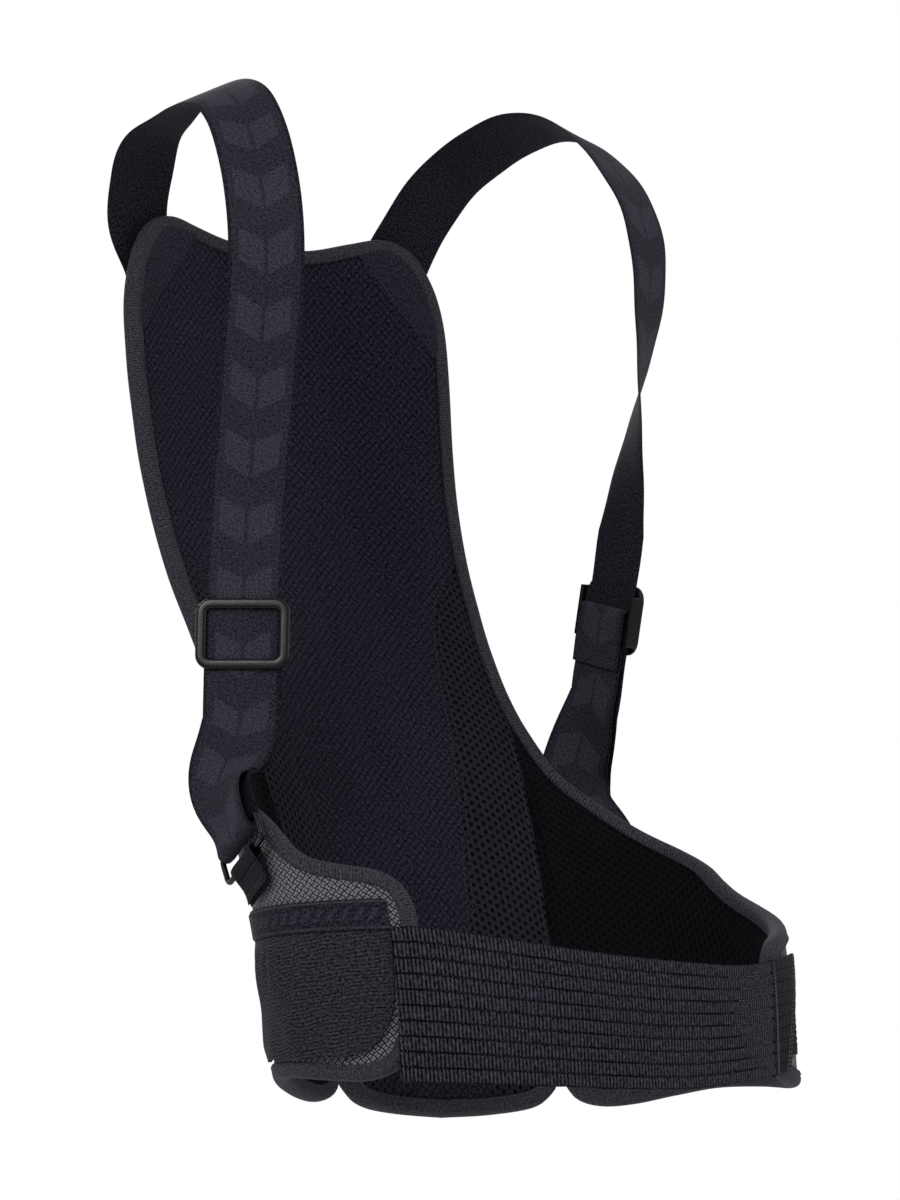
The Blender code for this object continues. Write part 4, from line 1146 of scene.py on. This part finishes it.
def moulded(name, parts, bodyname, stands_for, voxel=0.00042):
    """Overlapping bars fused into one soft-edged moulding."""
    pts, faces = gather(parts)
    mesh = bpy.data.meshes.new(name + "_raw")
    mesh.from_pydata([tuple(p) for p in pts], [], faces)
    face_outward(mesh)
    raw = new_object(name + "_raw", mesh)
    fuse = raw.modifiers.new("fuse", "REMESH")
    fuse.mode = "VOXEL"
    fuse.voxel_size = voxel
    ease = raw.modifiers.new("ease", "SMOOTH")
    ease.factor, ease.iterations = 0.5, 8
    thin = raw.modifiers.new("thin", "DECIMATE")
    thin.ratio = 0.35
    depsgraph = bpy.context.evaluated_depsgraph_get()
    made = bpy.data.meshes.new_from_object(raw.evaluated_get(depsgraph))
    bpy.data.objects.remove(raw, do_unlink=True)
    made.name = name
    made.shade_smooth()
    made.materials.clear()
    made.materials.append(LOOK["plastic"])
    obj = new_object(name, made)
    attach(obj, bodyname)
    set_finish(obj, "plastic")
    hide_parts(*stands_for)
    return obj


def slider(side, frame):
    hw, hl, up = SLIDER_WIDTH / 2, SLIDER_LENGTH / 2, frame[3]
    parts = [bar_mesh(rounded_loop(frame, hw - 0.003, hl - 0.0033, 0.0058, 0.00265), up, 0.0064,
                      0.0032)]
    for sign in (1, -1):
        rail = np.array([put(frame, sign * (hw - 0.0017), l, -0.0007)
                         for l in np.linspace(-hl + 0.006, hl - 0.006, 9)])
        parts.append(bar_mesh(rail, up, 0.0031, 0.0088, closed=False))
    mid = np.array([put(frame, w, 0.0, -0.00395) for w in np.linspace(-hw + 0.002, hw - 0.002, 15)])
    parts.append(bar_mesh(mid, up, 0.007, 0.0026, closed=False))
    moulded("adjuster_" + side, parts, "adjuster_" + side, ["slider_" + side])


def sew_across(frame, rows, n, half, count, way, bodyname, pitch, length):
    """Rows of stitches across a webbing fitting."""
    for l in rows:
        row = np.array([put(frame, w, l, n) for w in np.linspace(-half, half, count)])
        sew_along(row, np.tile(frame[3] * way, (count, 1)), bodyname, "thread", pitch, length,
                  0.0002)


def sewn_loop(side, frame):
    wide, length, front, back_n = frame[1], 0.031, -0.00175, -0.00615
    st = [(put(frame, 0, x, front), wide) for x in np.linspace(length, 0.012, 8)]
    mid, r = (front + back_n) / 2, (front - back_n) / 2
    st += [(put(frame, 0, x, front), wide) for x in np.linspace(0.01, -0.0034, 6)]
    for a in np.linspace(0, math.pi, 13):
        st.append((put(frame, 0, -0.0036 - r * math.sin(a), mid + r * math.cos(a)), wide))
    st += [(put(frame, 0, x, back_n), wide) for x in np.linspace(-0.0034, length, 16)]
    obj, size = webbing("adjuster_fold_" + side, st, WEBBING_WIDTH, 0.0013, frame[3],
                        bodyname="adjuster_" + side, stands_for=["strap_loop_" + side])
    sew_across(frame, (0.0235, 0.0255, 0.0275), back_n - 0.00075, 0.021, 40, -1,
               "adjuster_" + side, 0.0026, 0.002)


def strap_ring(side, frame):
    line = rounded_loop(frame, RING_WIDTH / 2, RING_LENGTH / 2, 0.0035, steps=6)
    pts, faces = bar_mesh(line, frame[3], 0.0034, 0.0034, square=1.0, sides=16)
    uv = pts[:, [0, 2]]
    obj = piece("strap_loop_ring_" + side, pts, faces, uv, "plastic", "strap_ring_" + side,
                ["ring_" + side], angle=80)
    face_outward(obj.data)


def ring_tab(side, frame):
    wide, r, hl = frame[1], RING_BAR + 0.0011 + 0.0006, RING_LENGTH / 2
    st = [(put(frame, 0, x, -r), wide) for x in np.linspace(hl + 0.022, hl + 0.001, 9)]
    for a in np.linspace(0, math.pi, 13):
        st.append((put(frame, 0, hl - r * math.sin(a), -r * math.cos(a)), wide))
    knee = through([(put(frame, 0, hl + 0.001, r) / MM, frame[3]),
                    (put(frame, 0, hl + 0.007, 0.0009) / MM, frame[3]),
                    (put(frame, 0, hl + 0.014, -r + 0.0019) / MM, frame[3]),
                    (put(frame, 0, hl + 0.021, -r + 0.0017) / MM, frame[3])], 1.5)[0] * MM
    st += [(p, wide) for p in knee]
    obj, size = webbing("ring_tape_" + side, st, 0.03, 0.0012, -frame[3], kind="tab",
                        stands_for=["ring_tab_" + side])
    sew_across(frame, (hl + 0.014, hl + 0.016, hl + 0.018), -r + 0.0027, 0.0135, 30, 1,
               "harness", 0.0024, 0.0019)


STRAPS = {
    "left": dict(
        sign=1, girth=0.135, slider=(133.5, 103.5, 305),
        shoulder=[((99, 279.5, 552), (0.12, 0.98, 0.1)), ((106, 262, 578), (0.18, 0.86, 0.48)),
                  ((111, 245, 594), (0.22, 0.66, 0.72)), ((116, 222, 606), (0.28, 0.36, 0.88)),
                  ((120, 184, 616), (0.3, 0.1, 0.94)), ((123, 150, 615), (0.3, -0.18, 0.92)),
                  ((129, 119, 601), (0.3, -0.54, 0.76)), ((136, 95, 577), (0.32, -0.82, 0.44)),
                  ((140, 78, 548), (0.37, -0.9, 0.2))],
        run=[((140.5, 71, 510), (0.46, -0.88, 0.08)), ((138, 73.0, 465), (0.66, -0.74, 0.0)),
             ((135, 80, 415), (0.92, -0.4, 0.0))],
        straight=((133.5, 91.0, 355), (133.5, 116.0, 255), (0.998, 0.03, 0.0)),
        tail=[((136.0, 132, 230), (0.9, 0.42, -0.05)), ((137.0, 143, 210), (0.76, 0.62, -0.15)),
              ((135.0, 141, 190), (0.66, 0.7, -0.25))]),
    "right": dict(
        sign=-1, girth=0.204, slider=(144.55, 87.1, 276),
        shoulder=[((99, 279.5, 552), (0.06, 0.99, 0.1)), ((106, 264, 578), (0.04, 0.88, 0.46)),
                  ((113, 246, 592), (0.1, 0.68, 0.72)), ((119, 222, 600), (0.2, 0.38, 0.9)),
                  ((122, 184, 609), (0.36, 0.12, 0.92)), ((126, 150, 611), (0.42, -0.16, 0.88)),
                  ((130, 121, 600), (0.44, -0.5, 0.74)), ((134, 98, 577), (0.46, -0.76, 0.44)),
                  ((137, 82, 548), (0.5, -0.83, 0.22))],
        run=[((138.5, 73, 510), (0.55, -0.83, 0.05)), ((138, 77, 460), (0.58, -0.81, 0.0)),
             ((138, 86, 400), (0.6, -0.8, 0.0))],
        straight=((140.3, 91.9, 326), (148.8, 82.3, 226), (0.62, -0.78, 0.0)),
        tail=[((165.5, 68, 203), (0.74, -0.67, 0.05)), ((178.5, 59.5, 184), (0.95, -0.25, 0.02))]),
}
for side, spec in STRAPS.items():
    flip = np.array([spec["sign"], 1, 1])
    g = spec["girth"]
    a, b = at([g], [0.14], RING_LIFT)[0], at([g], [0.156], RING_LIFT)[0]
    out = outward(np.array([g]), np.array([0.148]))[0]
    ring_frame = frame_at((a + b) / 2 * flip, (a - b) * flip, out * flip)
    p0, p1, n_straight = (np.array(v, float) for v in spec["straight"])
    slide = frame_at(np.array(spec["slider"]) * MM * flip, (p1 - p0) * flip, n_straight * flip)
    ends = [at([0.086], [z], t)[0] / MM for z, t in ((0.486, 0.0178), (0.522, 0.0152))]
    foot = outward(np.array([0.09]), np.array([0.5]))[0]
    top_turn = RING_LENGTH / 2
    r = RING_BAR + 0.002 + WEBBING / 2
    hang = [(put(ring_frame, 0, -top_turn - h, r) / MM * flip, out) for h in (0.012, 0.0)]
    upper = [(ends[0], foot), (ends[1], foot)] + spec["shoulder"] + spec["run"]
    c1, o1 = through(upper + [(p0, n_straight)], 4)
    c2 = np.linspace(p0, p1, 26)[1:]
    c3, o3 = through([(p1, n_straight)] + spec["tail"] + hang, 3)
    centres = np.vstack([c1, c2, c3[1:]]) * MM * flip
    outs = np.vstack([o1, np.tile(n_straight, (25, 1)), o3[1:]]) * flip
    wide = unit_rows(across_of(centres, outs))
    sign = np.sign(np.dot(wide[-1], ring_frame[1]))
    stations = [(c, w * sign) for c, w in zip(centres, wide)]
    stations += [(put(ring_frame, 0, -top_turn + r * math.sin(t), r * math.cos(t)), ring_frame[1])
                 for t in np.linspace(0, math.pi, 15)[1:]]
    back_run, first = [], len(c1) + 25
    d = np.gradient(centres, axis=0)
    top_end = np.array(slide[0]) + slide[2] * 0.0175
    for k in range(len(centres) - 1, 0, -1):
        if np.dot(centres[k] - top_end, slide[2]) < 0.004:
            break
        f = smooth((k - first) / (len(centres) - 1 - first))
        inner_way = np.cross(d[k], wide[k]) / np.linalg.norm(d[k])
        inner_way *= -np.sign(np.dot(inner_way, outs[k]))
        back_run.append((centres[k] + inner_way * (RETURN_OFFSET * (1 - f) + 2 * r * f),
                         wide[k] * sign))
    back_run.append((top_end - slide[3] * RETURN_OFFSET, slide[1]))
    stations += back_run[1:]
    obj, size = webbing("shoulder_strap_" + side, stations, WEBBING_WIDTH, WEBBING, outs[0],
                        stands_for=["strap_" + side])
    slider(side, slide)
    sewn_loop(side, slide)
    strap_ring(side, ring_frame)
    ring_tab(side, ring_frame)
    anchor = dense(slab(0.064, 0.108, 0.486, 0.512, 0.002))
    tape = skin("strap_anchor_tape_" + side, anchor, lambda s, z: pad_top(s, z) + 0.0013,
                lambda s, z: pad_top(s, z) + 0.0024, "patch", ["strap_anchor_" + side],
                cell=0.004, mirrored=spec["sign"] < 0)
    cloth(tape, anchor)
    box = mm(-19, 2, 19, 2, 19, 26, -19, 26, -19, 2, 19, 26, 19, 2, -19, 26)
    spots = dense(np.array(box), 0.002)[:-10]
    base, down = centres[0], unit(centres[1] - centres[0])
    up = outs[0] / np.linalg.norm(outs[0])
    sidewise = wide[0]
    rows = np.array([base + sidewise * w + down * l + up * 0.001 for w, l in spots])
    sew_along(rows, np.tile(up, (len(rows), 1)), "harness", "thread", 0.003, 0.0022, 0.00022)

stitch_pieces()

# ---------------------------------------------------------------- floor, light and camera
ground, _, shader = new_material("pale_floor")
shader.inputs["Base Color"].default_value = (0.86, 0.86, 0.87, 1.0)
shader.inputs["Roughness"].default_value = 0.9
bm = bmesh.new()
bmesh.ops.create_circle(bm, cap_ends=True, radius=60.0, segments=96)
floor_mesh = bpy.data.meshes.new("floor")
bm.to_mesh(floor_mesh)
bm.free()
floor_mesh.materials.append(ground)
floor = new_object("floor", floor_mesh)
floor.location = (0, 0, -0.95)

world = bpy.data.worlds.new("studio")
bpy.context.scene.world = world
world.use_nodes = True
world.node_tree.nodes["Background"].inputs["Color"].default_value = (1.0, 1.0, 1.0, 1.0)
world.node_tree.nodes["Background"].inputs["Strength"].default_value = 1.0


def lamp(name, place, size, power, target=(0.0, 0.08, 0.3)):
    data = bpy.data.lights.new(name, "AREA")
    data.shape = "DISK"
    data.size = size
    data.energy = power
    obj = new_object(name, data)
    obj.location = place
    obj.rotation_euler = (Vector(target) - Vector(place)).to_track_quat("-Z", "Y").to_euler()


lamp("key", (-2.4, -1.6, 1.9), 1.2, 60)
lamp("fill", (1.6, -2.6, 0.9), 1.6, 20)
lamp("back", (0.8, 2.6, 1.8), 1.5, 35)

azimuth, elevation, distance = math.radians(-35), math.radians(-6), 3.6
target = Vector((0.0, 0.06, 0.3))
away = Vector((math.sin(azimuth) * math.cos(elevation), -math.cos(azimuth) * math.cos(elevation),
               math.sin(elevation)))
camera_data = bpy.data.cameras.new("camera")
camera = new_object("camera", camera_data)
camera.location = target + away * distance
camera.rotation_euler = (-away).to_track_quat("-Z", "Y").to_euler()
camera_data.sensor_fit = "VERTICAL"
camera_data.sensor_height = 36.0
camera_data.lens = 181.4
camera_data.shift_x = -0.0183
camera_data.shift_y = 0.0042
camera_data.clip_end = 100.0
bpy.context.scene.camera = camera
bpy.context.scene.view_settings.view_transform = "Standard"
